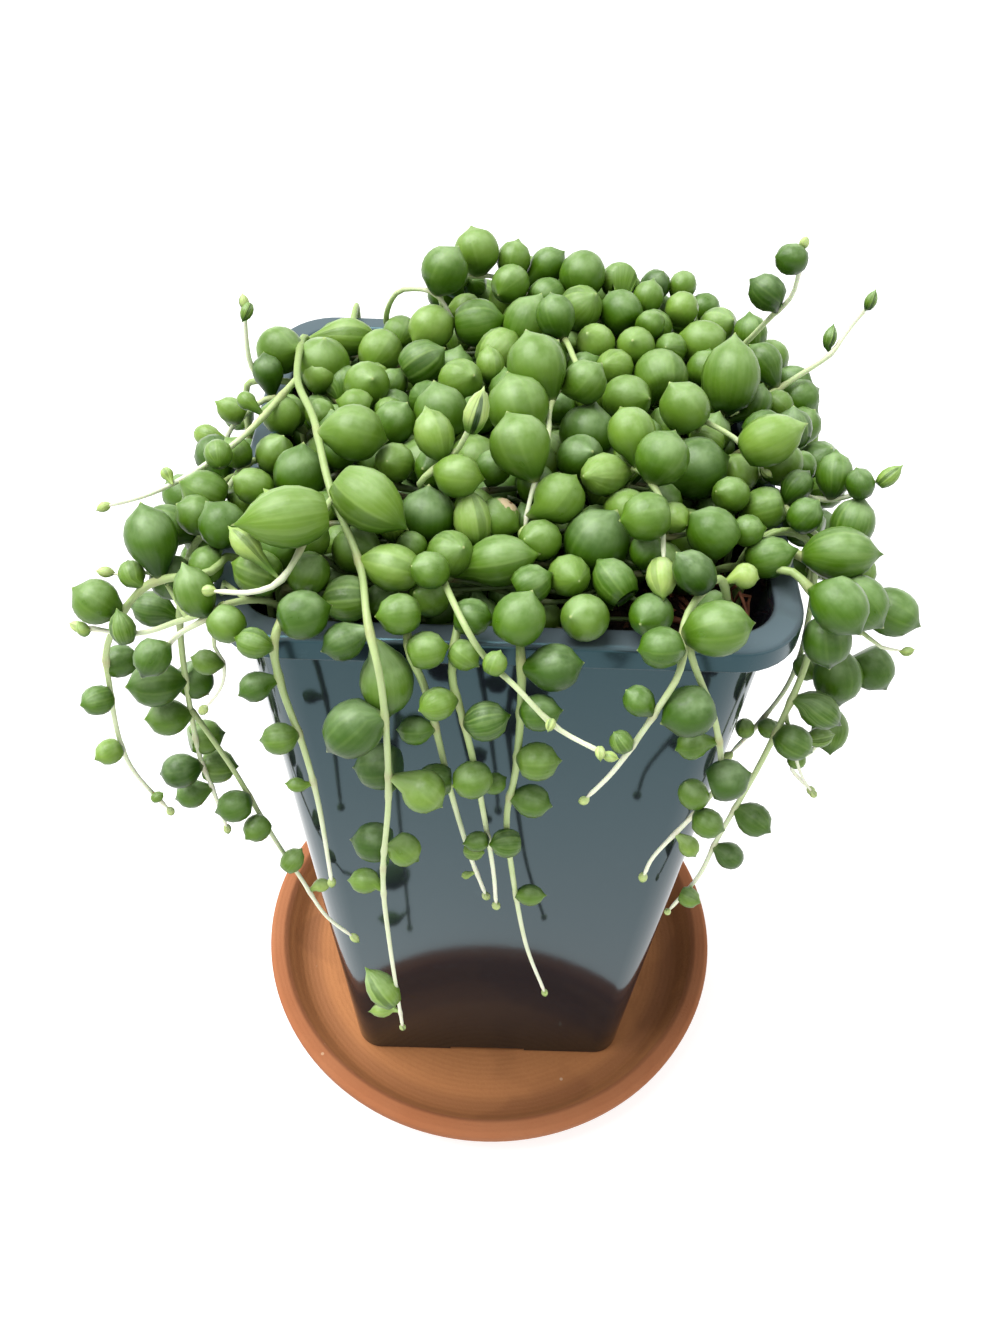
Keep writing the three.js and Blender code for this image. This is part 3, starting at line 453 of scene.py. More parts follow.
@dataclass(frozen=True)
class ClayFinish:
    """Unglazed, slightly dusty terracotta with turning lines, damp patches, painted shade in the crease of its
    floor and pale specks.
    """

    wall: Colour = (0.33, 0.118, 0.048)
    warm: Colour = (0.37, 0.148, 0.066)
    # darkens the damp patches, and paints shade in the crease where the floor meets the wall
    floor: Colour = (0.47, 0.200, 0.072)
    damp: Colour = (0.20, 0.078, 0.030)
    speck: Colour = (0.55, 0.38, 0.24)

    def material(self) -> Material:
        """Builds the material.

        Returns:
            The material.
        """
        bench = MaterialBench("terracotta")
        x, y, z = bench.split(bench.places)
        out = (x * x + y * y) ** 0.5 / MM
        height = z / MM
        cloud = bench.grain(0.045, 4.0)
        grain = bench.grain(1.3, 4.0, 0.65)
        inside = out.rise(SAUCER_INNER + 0.3, SAUCER_INNER - 0.8)
        inside = inside * height.rise(SAUCER_FLOOR - 1.5, SAUCER_FLOOR - 0.4)
        # The crease where the floor meets the wall gets a darker ring of painted shade, and is a little
        # smoother there as damp clay is
        crease_shade = (out - (SAUCER_FOOT_RADIUS + 1.5)).size().rise(4.5, 0.5) * inside
        patch = bench.grain(0.06, 2.0, 0.4).rise(0.55, 0.62) * inside
        colour = bench.blend(cloud.rise(0.3, 0.75), self.wall, self.warm)
        colour = bench.blend(inside * 0.85, colour, self.floor)
        # Painted shade in the crease and real damp patches, both in the damp colour
        colour = bench.blend(crease_shade * 0.55 + patch * 0.2, colour, self.damp)
        colour = bench.blend(grain.rise(0.25, 0.8) * 0.25, colour, self.wall)
        colour = bench.blend(bench.specks(0.16, 0.075), colour, self.speck)
        rings = (out * 5.2 + bench.grain(0.08) * 3.0).sin() * 0.5 + 0.5
        relief = bench.bump(grain * 1.2 + rings * 0.35 + bench.grain(4.0) * 0.4, 0.09)
        rough = 0.94 - inside * 0.16 - crease_shade * 0.08
        return bench.finish(colour, rough, relief, {"Specular IOR Level": 0.25})


@dataclass(frozen=True)
class SoilFinish:
    """Dark, damp potting mix with bits of bark."""

    dark: Colour = (0.010, 0.006, 0.004)
    brown: Colour = (0.050, 0.026, 0.014)
    bark: Colour = (0.13, 0.055, 0.026)

    def material(self) -> Material:
        """Builds the material.

        Returns:
            The material.
        """
        bench = MaterialBench("potting_mix")
        cloud = bench.grain(0.35, 4.0)
        grain = bench.grain(2.4, 5.0, 0.7)
        colour = bench.blend(cloud.rise(0.35, 0.7), self.dark, self.brown)
        colour = bench.blend(bench.grain(0.8, 1.0).rise(0.62, 0.7) * 0.8, colour, self.bark)
        rough = 0.75 + grain * 0.2
        return bench.finish(colour, rough, bench.bump(grain, 0.35), {"Specular IOR Level": 0.3})


@dataclass(frozen=True)
class RootFinish:
    """Fine reddish brown roots."""

    dark: Colour = (0.11, 0.034, 0.018)
    light: Colour = (0.36, 0.13, 0.062)

    def material(self) -> Material:
        """Builds the material.

        Returns:
            The material.
        """
        bench = MaterialBench("root_bark")
        colour = bench.blend(bench.grain(0.5, 3.0).rise(0.3, 0.7), self.dark, self.light)
        relief = bench.bump(bench.grain(3.0), 0.1)
        return bench.finish(colour, 0.6 + bench.grain(1.0) * 0.2, relief, {})


@dataclass(frozen=True)
class PearlFinish:
    """Waxy pearls: deep to pale green, with fine pale veins, a dark window stripe and a light tip, painted
    shade underneath and a waxy bloom painted as a highlight on top.
    """

    tones: tuple[tuple[float, Colour], ...] = (
        (0.0, (0.020, 0.066, 0.002)),
        (0.3, (0.063, 0.152, 0.005)),
        (0.6, (0.162, 0.286, 0.030)),
        (0.85, (0.34, 0.475, 0.11)),
        (1.0, (0.53, 0.63, 0.24)),
    )
    vein: Colour = (0.34, 0.48, 0.14)
    window: Colour = (0.018, 0.058, 0.006)
    # waxy bloom, painted on the upper side of each pearl as a highlight
    bloom_highlight: Colour = (0.50, 0.66, 0.38)
    # painted shade on the lower side of each pearl
    shade: Colour = (0.22, 0.34, 0.14)
    tip: Colour = (0.50, 0.56, 0.24)
    cork: Colour = (0.13, 0.05, 0.02)
    crust: Colour = (0.58, 0.46, 0.28)
    veins: int = 11

    def material(self) -> Material:
        """Builds the material.

        Returns:
            The material.
        """
        bench = MaterialBench("waxy_pearl")
        berry = bench.attribute_vector("berry")
        x, y, z = bench.split(berry)
        streak, seed, lit = (bench.attribute(name) for name in ("streak", "seed", "lit"))
        shift = {"X": seed * 37.0, "Y": seed * 91.0, "Z": seed * 13.0}
        shift = bench.node("ShaderNodeCombineXYZ", {}, shift).outputs["Vector"]
        own = bench.vector("ADD", {0: berry, 1: shift})
        cloud = bench.grain(1.3, 3.0, 0.5, own)
        angle = bench.math("ARCTAN2", y, x)
        wander = bench.grain(2.2, 2.0, 0.5, own) * 1.6
        middle = (1.0 - z * z).rise(0.10, 0.55)
        lines = ((angle * self.veins + wander).sin() * 0.5 + 0.5) ** 5.0 * middle
        fine = ((angle * (3 * self.veins) + wander * 2.0).sin() * 0.5 + 0.5) ** 3.0 * middle
        off_window = angle.size()
        open_window = off_window.rise(0.30, 0.17) * middle
        rim_window = (off_window - 0.30).size().rise(0.10, 0.02) * middle
        bold = streak * streak
        colour = bench.ramp(bench.attribute("tone") + cloud * 0.24 - 0.12, self.tones)
        colour = bench.blend((lines * 0.22 + fine * 0.14) * bold, colour, self.vein)
        colour = bench.blend(rim_window * (bold * 0.45 + 0.02), colour, self.vein)
        colour = bench.blend(open_window * (bold * 0.55 + 0.04), colour, self.window)
        # Painted shade: the lower side of each pearl is darkened, by how high a point lies on it
        colour = bench.blend(lit.rise(0.45, -0.9), colour, self.shade, "MULTIPLY")
        # Painted highlight: the upper side of each pearl is lightened with the waxy bloom colour
        colour = bench.blend(lit.rise(0.3, 1.0) * (cloud.rise(0.3, 0.75) * 0.30 + 0.10), colour, self.bloom_highlight)
        colour = bench.blend(z.rise(-0.86, -1.0) * 0.5 + z.rise(0.975, 0.999) * 0.8, colour, self.tip)
        spot = bench.gap(berry, (0.95, 0.0, 0.2)) + bench.grain(3.5, 3.0, 0.7, own) * 0.9 - 0.15
        scar = bench.attribute("scar") * spot.rise(0.86, 0.76)
        colour = bench.blend(scar, colour, bench.blend(spot.rise(0.28, 0.5), self.cork, self.crust))
        rough = 0.28 + cloud * 0.16 - open_window * 0.06 + scar * 0.3
        height = bench.grain(5.0, 3.0, 0.6, own) * 0.6 - lines * bold * 0.4 - open_window * bold * 0.8
        return bench.finish(colour, rough, bench.bump(height, 0.10), {
            "Subsurface Weight": 0.12, "Subsurface Radius": (0.5, 1.0, 0.2), "Subsurface Scale": 1.2 * MM,
            "IOR": 1.4, "Specular IOR Level": 0.4})


@dataclass(frozen=True)
class StemFinish:
    """Pale green stems, nearly white at their young tips, with pinkish knots, and painted shade on the stems
    that lie deep in the mound.
    """

    shaded: Colour = (0.045, 0.085, 0.015)
    old: Colour = (0.27, 0.38, 0.12)
    young: Colour = (0.48, 0.59, 0.27)
    tip: Colour = (0.80, 0.83, 0.64)
    knot: Colour = (0.36, 0.20, 0.12)

    def material(self) -> Material:
        """Builds the material.

        Returns:
            The material.
        """
        bench = MaterialBench("pale_stem")
        age = bench.attribute("age")
        cloud = bench.grain(0.25, 3.0)
        # The lowest stop is painted shade, for the stems deep in the mound that are given no youth
        stops = ((0.0, self.shaded), (0.3, self.old), (0.62, self.young), (0.92, self.tip))
        colour = bench.ramp(age + cloud * 0.2 - 0.1, stops)
        colour = bench.blend(bench.attribute("knot") * 0.45, colour, self.knot)
        relief = bench.bump(bench.grain(1.6, 3.0), 0.12)
        return bench.finish(colour, 0.42 + cloud * 0.12, relief, {
            "Subsurface Weight": 0.15, "Subsurface Radius": (0.6, 1.0, 0.3), "Subsurface Scale": 0.8 * MM})


@dataclass(frozen=True)
class FloorFinish:
    """A plain pale table that is lit a little from below."""

    pale: Colour = (0.45, 0.45, 0.45)
    glow: float = 0.75

    def material(self) -> Material:
        """Builds the material.

        Returns:
            The material.
        """
        bench = MaterialBench("pale_floor")
        return bench.finish((*self.pale, 1.0), 0.9, None, {
            "Emission Color": (1.0, 1.0, 1.0, 1.0), "Emission Strength": self.glow})


class Side(Enum):
    """A side of the pot, as a unit step out from its middle."""

    FRONT = (0.0, -1.0)
    BACK = (0.0, 1.0)
    RIGHT = (1.0, 0.0)
    LEFT = (-1.0, 0.0)

    def spot(self, along: float, out: float, height: float) -> Point:
        """A place by how far it lies along the side, out from the middle, and up."""
        x, y = self.value
        return (x * out + along * abs(y), y * out + along * abs(x), height)

    def rise(self, along: float) -> list[Point]:
        """The first points of a strand that comes up beside the rim and lies over it."""
        return [self.spot(along, out, height) for out, height in RIM_RISE]


@dataclass(frozen=True)
class Run:
    """One run of a stem in a table: the points that it passes, and its pearls."""

    stem: Sequence[Point]
    pearls: Sequence[Sequence[float]] = ()


@dataclass(frozen=True)
class Row:
    """A row of pearls in a table, and the shoots that start from its stem."""

    pearls: Sequence[Sequence[float]]
    shoots: Sequence[Run] = ()


# Rows of pearls that lie across the pot, each on a stem of its own that runs beneath them. A pearl of a row
# is [x, y, width, length over width]. A pearl of a run is [mm along the stem, clock angle, width, reach,
# length over width], and a negative reach puts it behind the stem. The usual length over width is left out.
ROWS = {
    "row_rear": Row([[12, 38, 8], [18, 38, 6.5], [24, 36, 5.5], [31, 34, 6], [38, 33, 6.5]]),
    "row_crest": Row([[0, 33, 6], [7, 32, 6.5], [12, 31, 7.5], [18, 29, 7.5], [25, 25, 5]]),
    "row_back": Row(
        [[-25, 24, 7.5], [-21, 31, 6.5], [0, 26, 9], [15, 20, 6.5], [21, 20, 6.5], [28, 24, 5.5],
         [33, 24, 8]]),
    "row_behind": Row(
        [[-34, 15, 6], [-25, 8, 7.5], [-16, 14, 7.5], [-9, 7, 7], [-4, 12, 4.5], [5, 16, 8.5], [18, 13, 6],
         [25, 12, 9], [34, 19, 6]], [Run(
        [[8, 19, 172], [10, 10, 174], [10, 4, 175], [6, -6, 176], [5, -18, 175], [3, -24, 172],
         [2, -28, 168]],
        [[0, 110, 6.5, 3.3], [18, 320, 6.5, 2.8], [24, 140, 8.5, 4.8], [29, 170, 8.5, 4.8], [39, 170, 8, 4.1],
         [46, 340, 7, 4.5]])]),
    "row_upper": Row(
        [[-38, 3, 6], [-32, 0, 5], [-26, 1, 5.5], [-19, -5, 6.5], [-12, -3, 8], [12, -4, 8.5], [19, 4, 7.5],
         [32, -4, 5.5]], [Run(
        [[30, -5, 172], [33, -8, 173], [36, -10, 172], [40, -13, 169]],
        [[0, 150, 7.5, 3.3], [11, 40, 7, 3.2], [13, 40, 4, 6.3]])]),
    "row_middle": Row(
        [[-39, -9, 6], [-33, -16, 8], [-28, -12, 5.5], [-18, -16, 6], [-12, -17, 6.5], [-3, -17, 5.5],
         [11, -14, 7], [18, -15, 4.5], [31, -14, 9], [39, -9, 6.5]], [Run(
        [[-14, -23, 172], [-9, -21, 176], [-7, -21, 180], [-5, -23, 187]],
        [[5, 310, 6, 3.1], [7, 140, 5.5, 4.1, 1.3], [15, 340, 3.5, 0.3, 1.6]]), Run(
        [[19, -19, 173], [22, -26, 173], [22, -32, 172], [22, -37, 170]],
        [[0, 190, 7, 5, 1.2], [0, 100, 7, 5.2], [2, 50, 7, 3.3], [12, 180, 6, 2.7],
         [20, 280, 3, 2.1, 1.4]])]),
    "row_lower": Row(
        [[-36, -25, 7], [-24, -24, 7], [-13, -25, 7.5], [-6, -28, 5.5, 1.4], [-2, -23, 6], [4, -26, 5.5],
         [25, -26, 4.5], [35, -17, 5.5]]),
    "row_before": Row(
        [[-29, -32, 5], [-23, -32, 7.5], [-18, -30, 4], [-15, -33, 4.5], [-9, -33, 6.5], [-1, -35, 6, 1.5],
         [4, -31, 6], [12, -29, 9], [19, -32, 5.5], [30, -28, 7], [35, -23, 4.5]], [Run(
        [[-10, -39, 168], [-6, -50, 168], [-3, -50, 162], [1, -54, 161], [7, -57, 156], [14, -60, 154]],
        [[0, 170, 5.5, 2], [20, 50, 3.5, 0.4], [32, 260, 1.5, 0.2, 1.5], [40, 270, 1.5, 0.1, 1.6]])]),
    "row_front": Row(
        [[-37, -39, 6.5], [-29, -38, 6], [-21, -39, 6.5], [3, -38, 5.5], [8, -37, 6], [11, -43, 7],
         [15, -38, 6, 1.3], [20, -42, 7]]),
}

# Strands that come up beside the rim and over it. Runs after the first are its branches.
STRANDS = {
    "strand_front_long": [Run(
        [[-37, 27, 149], [-37, 25, 160], [-38, 25, 167], [-36, 4, 172], [-31, -12, 175], [-27, -27, 174],
         [-22, -37, 168], [-20, -47, 166], [-18, -51, 155], [-18, -51, 132], [-20, -50, 107], [-20, -48, 82],
         [-19, -44, 40]],
        [[11, 10, 7, 4, 1.3], [15, 10, 7, 6.8], [26, 170, 7, 1.9], [63, 10, 8, 5.6], [78, 20, 8, 4.5, 1.4],
         [88, 10, 6.5, 5.2, 1.35], [98, 200, 5.5, 4.5], [105, 0, 8, -1.1], [114, 180, 7.5, 3.4],
         [126, 180, 7, -1.4], [133, 0, 6.5, 4], [147, 350, 5.5, 3.4], [148, 170, 6.5, -2], [159, 180, 4, 3.2],
         [202, 190, 6.5, 2.3, 1.3], [214, 190, 3, 3.5]]), Run(
        [[-36, 4, 172], [-42, -10, 171], [-49, -16, 168], [-56, -20, 166], [-63, -21, 164]],
        [[7, 310, 6.5, 0.7], [11, 140, 3, 3.6], [22, 300, 4.5, 1.2], [30, 120, 2, 1.8]]), Run(
        [[-26, -29, 174], [-29, -35, 172], [-32, -43, 170], [-36, -45, 169], [-42, -44, 168]],
        [[7, 150, 3, 4.5, 1.7], [8, 150, 8, 3.4, 1.5], [13, 150, 3.2, 5.4, 1.7]])],
    "strand_front_left": [Run(
        [*Side.FRONT.rise(-31), [-33, -49, 164], [-33, -49, 154], [-31, -49, 140], [-30, -48, 123],
         [-30, -46, 99]],
        [[22, 10, 7, 4], [26, 170, 4.5, 2.7], [33, 200, 4.5, 3.7], [45, 200, 5, 2.7],
         [58, 190, 2.5, 2.7, 1.4]])],
    "strand_mid_front": [Run(
        [*Side.FRONT.rise(-15), [-14, -49, 162], [-12, -50, 156], [-10, -50, 144], [-8, -49, 129],
         [-5, -47, 110], [-2, -46, 96]],
        [[19, 180, 6, 0.4], [24, 0, 5.5, 3.5], [40, 190, 5.5, 3.5], [53, 190, 5.5, 1.8], [76, 10, 3.5, 1],
         [84, 200, 1.5, 1.9]])],
    "strand_mid_fall": [Run(
        [*Side.FRONT.rise(-7), [-8, -50, 159], [-6, -52, 150], [-4, -51, 136], [-1, -49, 110], [0, -48, 96]],
        [[18, 340, 5.5, 0.4], [23, 350, 4.5, 2], [31, 190, 5, 3], [36, 10, 6, 3.2], [50, 180, 6, 0.6],
         [53, 10, 3.5, 3.5], [68, 200, 3.5, 1, 1.3]])],
    "strand_centre_fall": [Run(
        [*Side.FRONT.rise(1), [2, -51, 159], [2, -51, 140], [1, -50, 126], [2, -49, 112], [6, -46, 80],
         [11, -44, 57]],
        [[19, 50, 7.5, 0.1], [26, 0, 7, 4.7], [34, 0, 5.5, 2.6], [45, 350, 6, 3], [56, 350, 5.5, 3.6],
         [69, 190, 5, 1], [89, 10, 4, 2.5, 1.4]])],
    "strand_right_front": [Run(
        [[33, -34, 149], [33, -35, 160], [30, -38, 168], [25, -45, 167], [24, -52, 164], [22, -54, 159],
         [17, -54, 144], [13, -54, 136]],
        [[11, 240, 7, 4.1, 1.25], [17, 30, 3, 2.8], [24, 140, 6, 3.3, 1.3], [33, 0, 8, 4.5],
         [35, 170, 6, 3.3], [46, 140, 4.5, 3], [54, 150, 3.5, 1.9]]), Run(
        [[25, -47, 166], [26, -50, 163], [31, -51, 151], [34, -50, 137], [32, -49, 127], [27, -48, 113],
         [26, -47, 105]],
        [[13, 200, 7.5, 3.5], [22, 190, 4.5, 4.1], [32, 10, 6.5, 0.2], [40, 140, 5, 2.6], [43, 320, 5, 2],
         [50, 320, 3.5, 3.2]])],
    "strand_right_long": [Run(
        [*Side.RIGHT.rise(-31), [47, -36, 161], [48, -34, 152], [47, -36, 143], [44, -38, 126],
         [40, -39, 106], [38, -40, 95], [34, -40, 83]],
        [[24, 20, 5.5, 0.9], [34, 0, 7, 0.3], [46, 340, 6, 4.8, 1.4], [54, 340, 6, 2.6], [73, 330, 6, 3.9],
         [84, 330, 5, 3.4], [99, 330, 4, 0.4]])],
    "strand_right_inner": [Run(
        [*Side.RIGHT.rise(-22), [48.5, -22, 160], [51, -22, 142], [50, -24, 132], [46, -27, 125],
         [41, -30, 119]],
        [[50, 320, 4.5, 1], [63, 320, 3.5, 1.5], [62, 320, 5, 5.4], [66, 130, 3.5, 1.6]])],
    "strand_right_outer": [Run(
        [[37, -26, 149], [37.6, -26, 159], [42, -26.5, 164], [48, -29, 162], [54, -30, 154], [57, -27, 135],
         [58, -25, 116], [55, -24, 109], [60, -24, 102]],
        [[14, 190, 6, 4, 1.3], [24, 40, 7, 4.1, 1.45], [31, 10, 8, 1.1], [35, 10, 7, 6.8], [50, 0, 7, 4.3],
         [54, 190, 8, 0.4], [67, 250, 6.5, 0.1, 1.3], [79, 150, 3.5, 0.5]])],
    "strand_right_back": [Run(
        [*Side.RIGHT.rise(-14), [45, -20, 165], [49, -22, 163], [56, -21, 158]],
        [[19, 200, 6.5, 3.5], [20, 50, 5, 3.9], [24, 40, 5.5, 0.2], [32, 60, 7, 2.9, 1.2],
         [37, 280, 5, 2.6, 1.3]])],
    "strand_right_up": [Run(
        [[36, 4, 149], [36, 4, 160], [36, 8, 168], [40, 19, 171], [41, 17, 175], [43, 15, 180], [45, 12, 186],
         [45, 12, 194]],
        [[22, 340, 5.5, 5.7], [23, 150, 9, 0.3, 1.15], [45, 130, 6, 3.3], [55, 170, 5, 2]])],
    "strand_right_thin": [Run(
        [*Side.RIGHT.rise(12), [50, 17, 167], [56, 20, 170], [59, 23, 173], [62, 24, 178]],
        [[20, 320, 5, 2.5], [23, 120, 6.5, 5.5], [37, 150, 2, 1.9], [45, 120, 2, 0.3, 1.5]])],
    "strand_right_reach": [Run(
        [[37, -6, 149], [37.6, -6, 159], [42, -7, 163.6], [47, -14, 165], [51, -16, 166], [54, -17, 168],
         [57, -17, 171]],
        [[18, 70, 7, 1.9], [30, 90, 6, 3.6, 1.2], [35, 130, 4.5, 1, 1.2], [39, 300, 2.5, 0.2, 1.6]])],
    "strand_left_outer": [Run(
        [*Side.LEFT.rise(-32), [-44, -38, 166], [-54, -37, 162], [-62, -37, 150], [-64, -37, 139],
         [-65, -37, 126], [-64, -37, 117], [-60, -37, 107]],
        [[32, 110, 8, 5.6, 1.2], [35, 120, 4, 3.2], [45, 150, 7, 3], [54, 0, 5.5, -1.1], [63, 190, 5, 1.2],
         [76, 190, 4.5, 1.4], [90, 40, 2, 0.5, 1.3]])],
    "strand_left_low": [Run(
        [[-34, -36, 149], [-35, -37, 159], [-40, -42, 164], [-44, -45, 163], [-48, -45, 160],
         [-51, -45, 156]],
        [[21, 300, 5.5, 2.6], [23, 120, 6, 3.7, 1.4], [32, 230, 5.5, 2.4]]), Run(
        [[-41, -43, 164], [-49, -40, 158], [-56, -40, 155], [-65, -38, 154]],
        [[20, 80, 4, 0.8, 1.5], [26, 90, 2, 1.2, 1.5]])],
    "strand_left_inner": [Run(
        [*Side.LEFT.rise(-24), [-49, -26, 161], [-53, -29, 147], [-55, -29, 116], [-54, -29, 103],
         [-53, -29, 91]],
        [[40, 160, 6, 4.7], [54, 190, 8, 4.6], [54, 330, 6.5, -0.3], [63, 190, 6.5, 3.6], [70, 20, 6.5, -0.5],
         [79, 20, 6.5, -1.5], [77, 200, 6.5, 3.8], [84, 200, 5.5, 4]]), Run(
        [[-55, -29, 127], [-48, -33, 114], [-42, -37, 100], [-37, -40, 90], [-33, -42, 81], [-28, -43, 75]],
        [[22, 210, 6, 2.5], [28, 220, 5, 0.9], [38, 40, 4, 1.1, 1.3], [46, 30, 2.5, 2.6, 1.3]])],
    "strand_left_crown": [Run(
        [*Side.LEFT.rise(-8), [-46, -17, 163], [-47, -22, 157]],
        [[19, 130, 5, 1.8], [26, 330, 5.5, 2.9], [27, 160, 7, 1.2], [33, 170, 6.5, 0.6, 1.2],
         [33, 350, 6.5, 3.1], [33, 180, 4, 5.8]])],
    "strand_left_back": [Run(
        [*Side.LEFT.rise(10), [-48, 4, 162], [-50, 4, 157]],
        [[17, 100, 5.5, 4.7], [24, 140, 4.5, 1, 1.3], [29, 170, 4, 3.5, 1.3]]), Run(
        [[-40, 10, 162], [-45, 13, 167], [-46, 14, 171], [-46, 16, 178]],
        [[18, 0, 2, 0.7, 1.6]])],
    "strand_back_arch": [Run(
        [[-22, 36, 149], [-22, 36, 158], [-24, 35, 165], [-22, 32, 172], [-19, 31, 174], [-14, 29, 174],
         [-10, 27, 168]],
        [[33, 60, 7.5, 3.9], [39, 210, 7.5, 4], [41, 10, 8, 3.9]])],
    "strand_back_bow": [Run(
        [[-12, 37, 149], [-12, 38, 160], [-14, 38, 171], [-9, 38, 173], [-3, 38, 173], [3, 37, 170]],
        [[16, 20, 5.5, 4.1], [30, 90, 7.5, 3.5], [36, 60, 6, 3.7], [38, 230, 6.5, 1.3], [39, 50, 6.5, 6.4]])],
}

# How single pearls look in the photograph, by strand and by their place in its table: the clock angle of the
# point, the width, the length over the width, the tone from 0 (dark) to 1, and a shift to the right, up and
# towards the camera
PORTRAITS = {
    "strand_front_long": {0: (120, 9.2, 1, 0.5, 0, 0, 8), 1: (350, 6.6, 1.5, 0.6),
        2: (140, 8.4, 1, 0.42, -2, -1, -5), 3: (345, 8.2, 1.05, 0.5), 4: (328, 8.4, 1.5, 0.54),
        5: (350, 6.6, 1.35, 0.62), 7: (265, 8, 1.35, 0.42), 8: (245, 8.4, 1.15, 0.16),
        9: (200, 7.6, 1.1, 0.14), 10: (300, 6.8, 1, 0.62, 2, 2, 7), 11: (300, 5.8, 1, 0.58),
        12: (190, 7, 1.1, 0.16), 13: (190, 4.6, 1.2, 0.55), 14: (100, 6.2, 1.7, 0.62),
        15: (195, 3.4, 1.7, 0.72), 16: (300, 6.2, 1.05, 0.56, -0.3, -1, -7), 20: (135, 4, 1.5, 0.74, 1, 0, 7),
        21: (197, 8.4, 1.6, 0.52), 22: (128, 3.6, 1.7, 0.84, -1, 0, 1)},
    "strand_back_arch": {0: (70, 8, 1, 0.34)},
    "strand_back_bow": {1: (100, 7.8, 1, 0.55)},
    "row_behind": {4: (115, 4.8, 1.3, 0.62), 9: (110, 6.5, 1.1, 0.3), 10: (60, 6.8, 1, 0.42),
        11: (95, 9, 1.1, 0.44), 12: (100, 9.2, 1, 0.46), 13: (95, 8.8, 1, 0.46), 14: (60, 7.4, 1, 0.5)},
    "row_before": {5: (20, 7.4, 1.4, 0.4), 7: (60, 9.6, 1, 0.14), 9: (150, 7.4, 1.1, 0.3),
        10: (0, 4.8, 1, 0.36, 1.2, -1.5, 1)},
    "row_lower": {2: (80, 8.4, 1, 0.12), 3: (112, 5.8, 1.6, 0.7), 4: (320, 6.4, 1, 0.44, -0.2, -3.8, 1)},
    "row_upper": {4: (100, 8.6, 1.05, 0.36), 5: (70, 8.8, 1, 0.22), 9: (25, 7.6, 1.4, 0.62)},
    "row_middle": {8: (10, 9.6, 1, 0.14), 10: (345, 6.2, 1.1, 0.6), 11: (112, 5.8, 1.3, 0.64),
        12: (65, 3.5, 2.2, 0.92), 13: (12, 6.4, 1.4, 0.64), 15: (60, 7.8, 1, 0.34), 16: (200, 6.8, 1.05, 0.4),
        17: (80, 4.4, 1.5, 0.86)},
    "strand_right_front": {1: (325, 3.7, 1, 0.86, 0.7, -0.1, 0), 3: (5, 8, 1.2, 0.4, 0, 1.6, 0)},
    "strand_right_up": {0: (75, 5.8, 1.15, 0.3), 1: (78, 9.4, 1.3, 0.42)},
    "strand_right_outer": {0: (30, 6.2, 1.3, 0.32, 3.5, 0.2, 2), 1: (12, 8.4, 1.4, 0.34),
        2: (300, 8.4, 1.1, 0.3, -1, 0, 0), 3: (330, 7.8, 1.15, 0.28), 4: (300, 7.4, 1.1, 0.22),
        5: (275, 8.2, 1.1, 0.3, 0, 2, 1)},
    "strand_right_long": {0: (285, 8.2, 1.15, 0.28, 1, -1, 1), 1: (270, 7.6, 1.1, 0.22)},
    "strand_right_thin": {2: (80, 2.5, 1.9, 0.3), 3: (60, 2.2, 1.8, 0.4)},
    "strand_right_reach": {3: (60, 2.8, 1.8, 0.62)},
    "strand_left_back": {3: (250, 2.2, 1.8, 0.45)},
    "strand_left_outer": {0: (100, 7.8, 1.2, 0.24), 2: (150, 7, 1, 0.4)},
}

# Thin shoots that only the finished plant has
SPRIGS = {
    "strand_left_low": [Run(
        [[-42, -36, 164], [-45.8, -36, 150], [-45, -36, 145.5], [-45.5, -36, 141], [-47, -36, 137.5],
         [-49.5, -36, 134]],
        [[20, 175, 4.2, 2.4]]), Run(
        [[-50, -37, 163.5], [-54.6, -34, 162], [-57.5, -34, 161.2], [-60, -34, 161.7]])],
    "strand_right_outer": [Run(
        [[55, -30, 152], [59.3, -33, 150.3], [61, -33, 149.7], [63.2, -33, 149.4]])],
    "strand_right_long": [Run(
        [[46, -37, 138], [49.2, -36, 129.8], [51, -36, 124.5], [53, -36, 120], [55.4, -36, 116.3]],
        [[10, 20, 3.6, 4.6, 1.4]])],
}

# How far a strand is drawn towards the camera, so that it hangs before its own pearls: not at all above the
# first of the heights, and in full below the second
BROUGHT_FORWARD = {"strand_front_long": 5.0}
FORWARD_HEIGHTS = (170.0, 160.0)

# How far the roots of a strand lie from the place that its solid has, and at which step the two meet
ROOTED_ELSEWHERE = {"strand_right_long": (22, Vector((-6.0, 13.0, 0.0)))}

# Strands over the back rim and the hidden ends of the sides, made by a rule: where each roots, and its side
HIDDEN_STRANDS = {
    "strand_back_left": ((-31, 37), Side.BACK),
    "strand_back_centre_left": ((-3, 37), Side.BACK),
    "strand_back_centre": ((7, 37), Side.BACK),
    "strand_back_centre_right": ((20, 37), Side.BACK),
    "strand_back_right": ((32, 37), Side.BACK),
    "strand_right_rear": ((37, 26), Side.RIGHT),
    "strand_left_rear": ((-37, 19), Side.LEFT),
}

# Strands that lie on the rim, with little of their first rise, and have no pearls until well below it
BARE_STRANDS = ("strand_back_left", "strand_left_rear")
BARE_DROP = 8.0
STEM_LYING = RIM_TOP + 0.9
LYING_SHARE = 0.2

# The pearl with a corky scar, by its strand and its place in it
SCARRED = ("row_lower", 4)

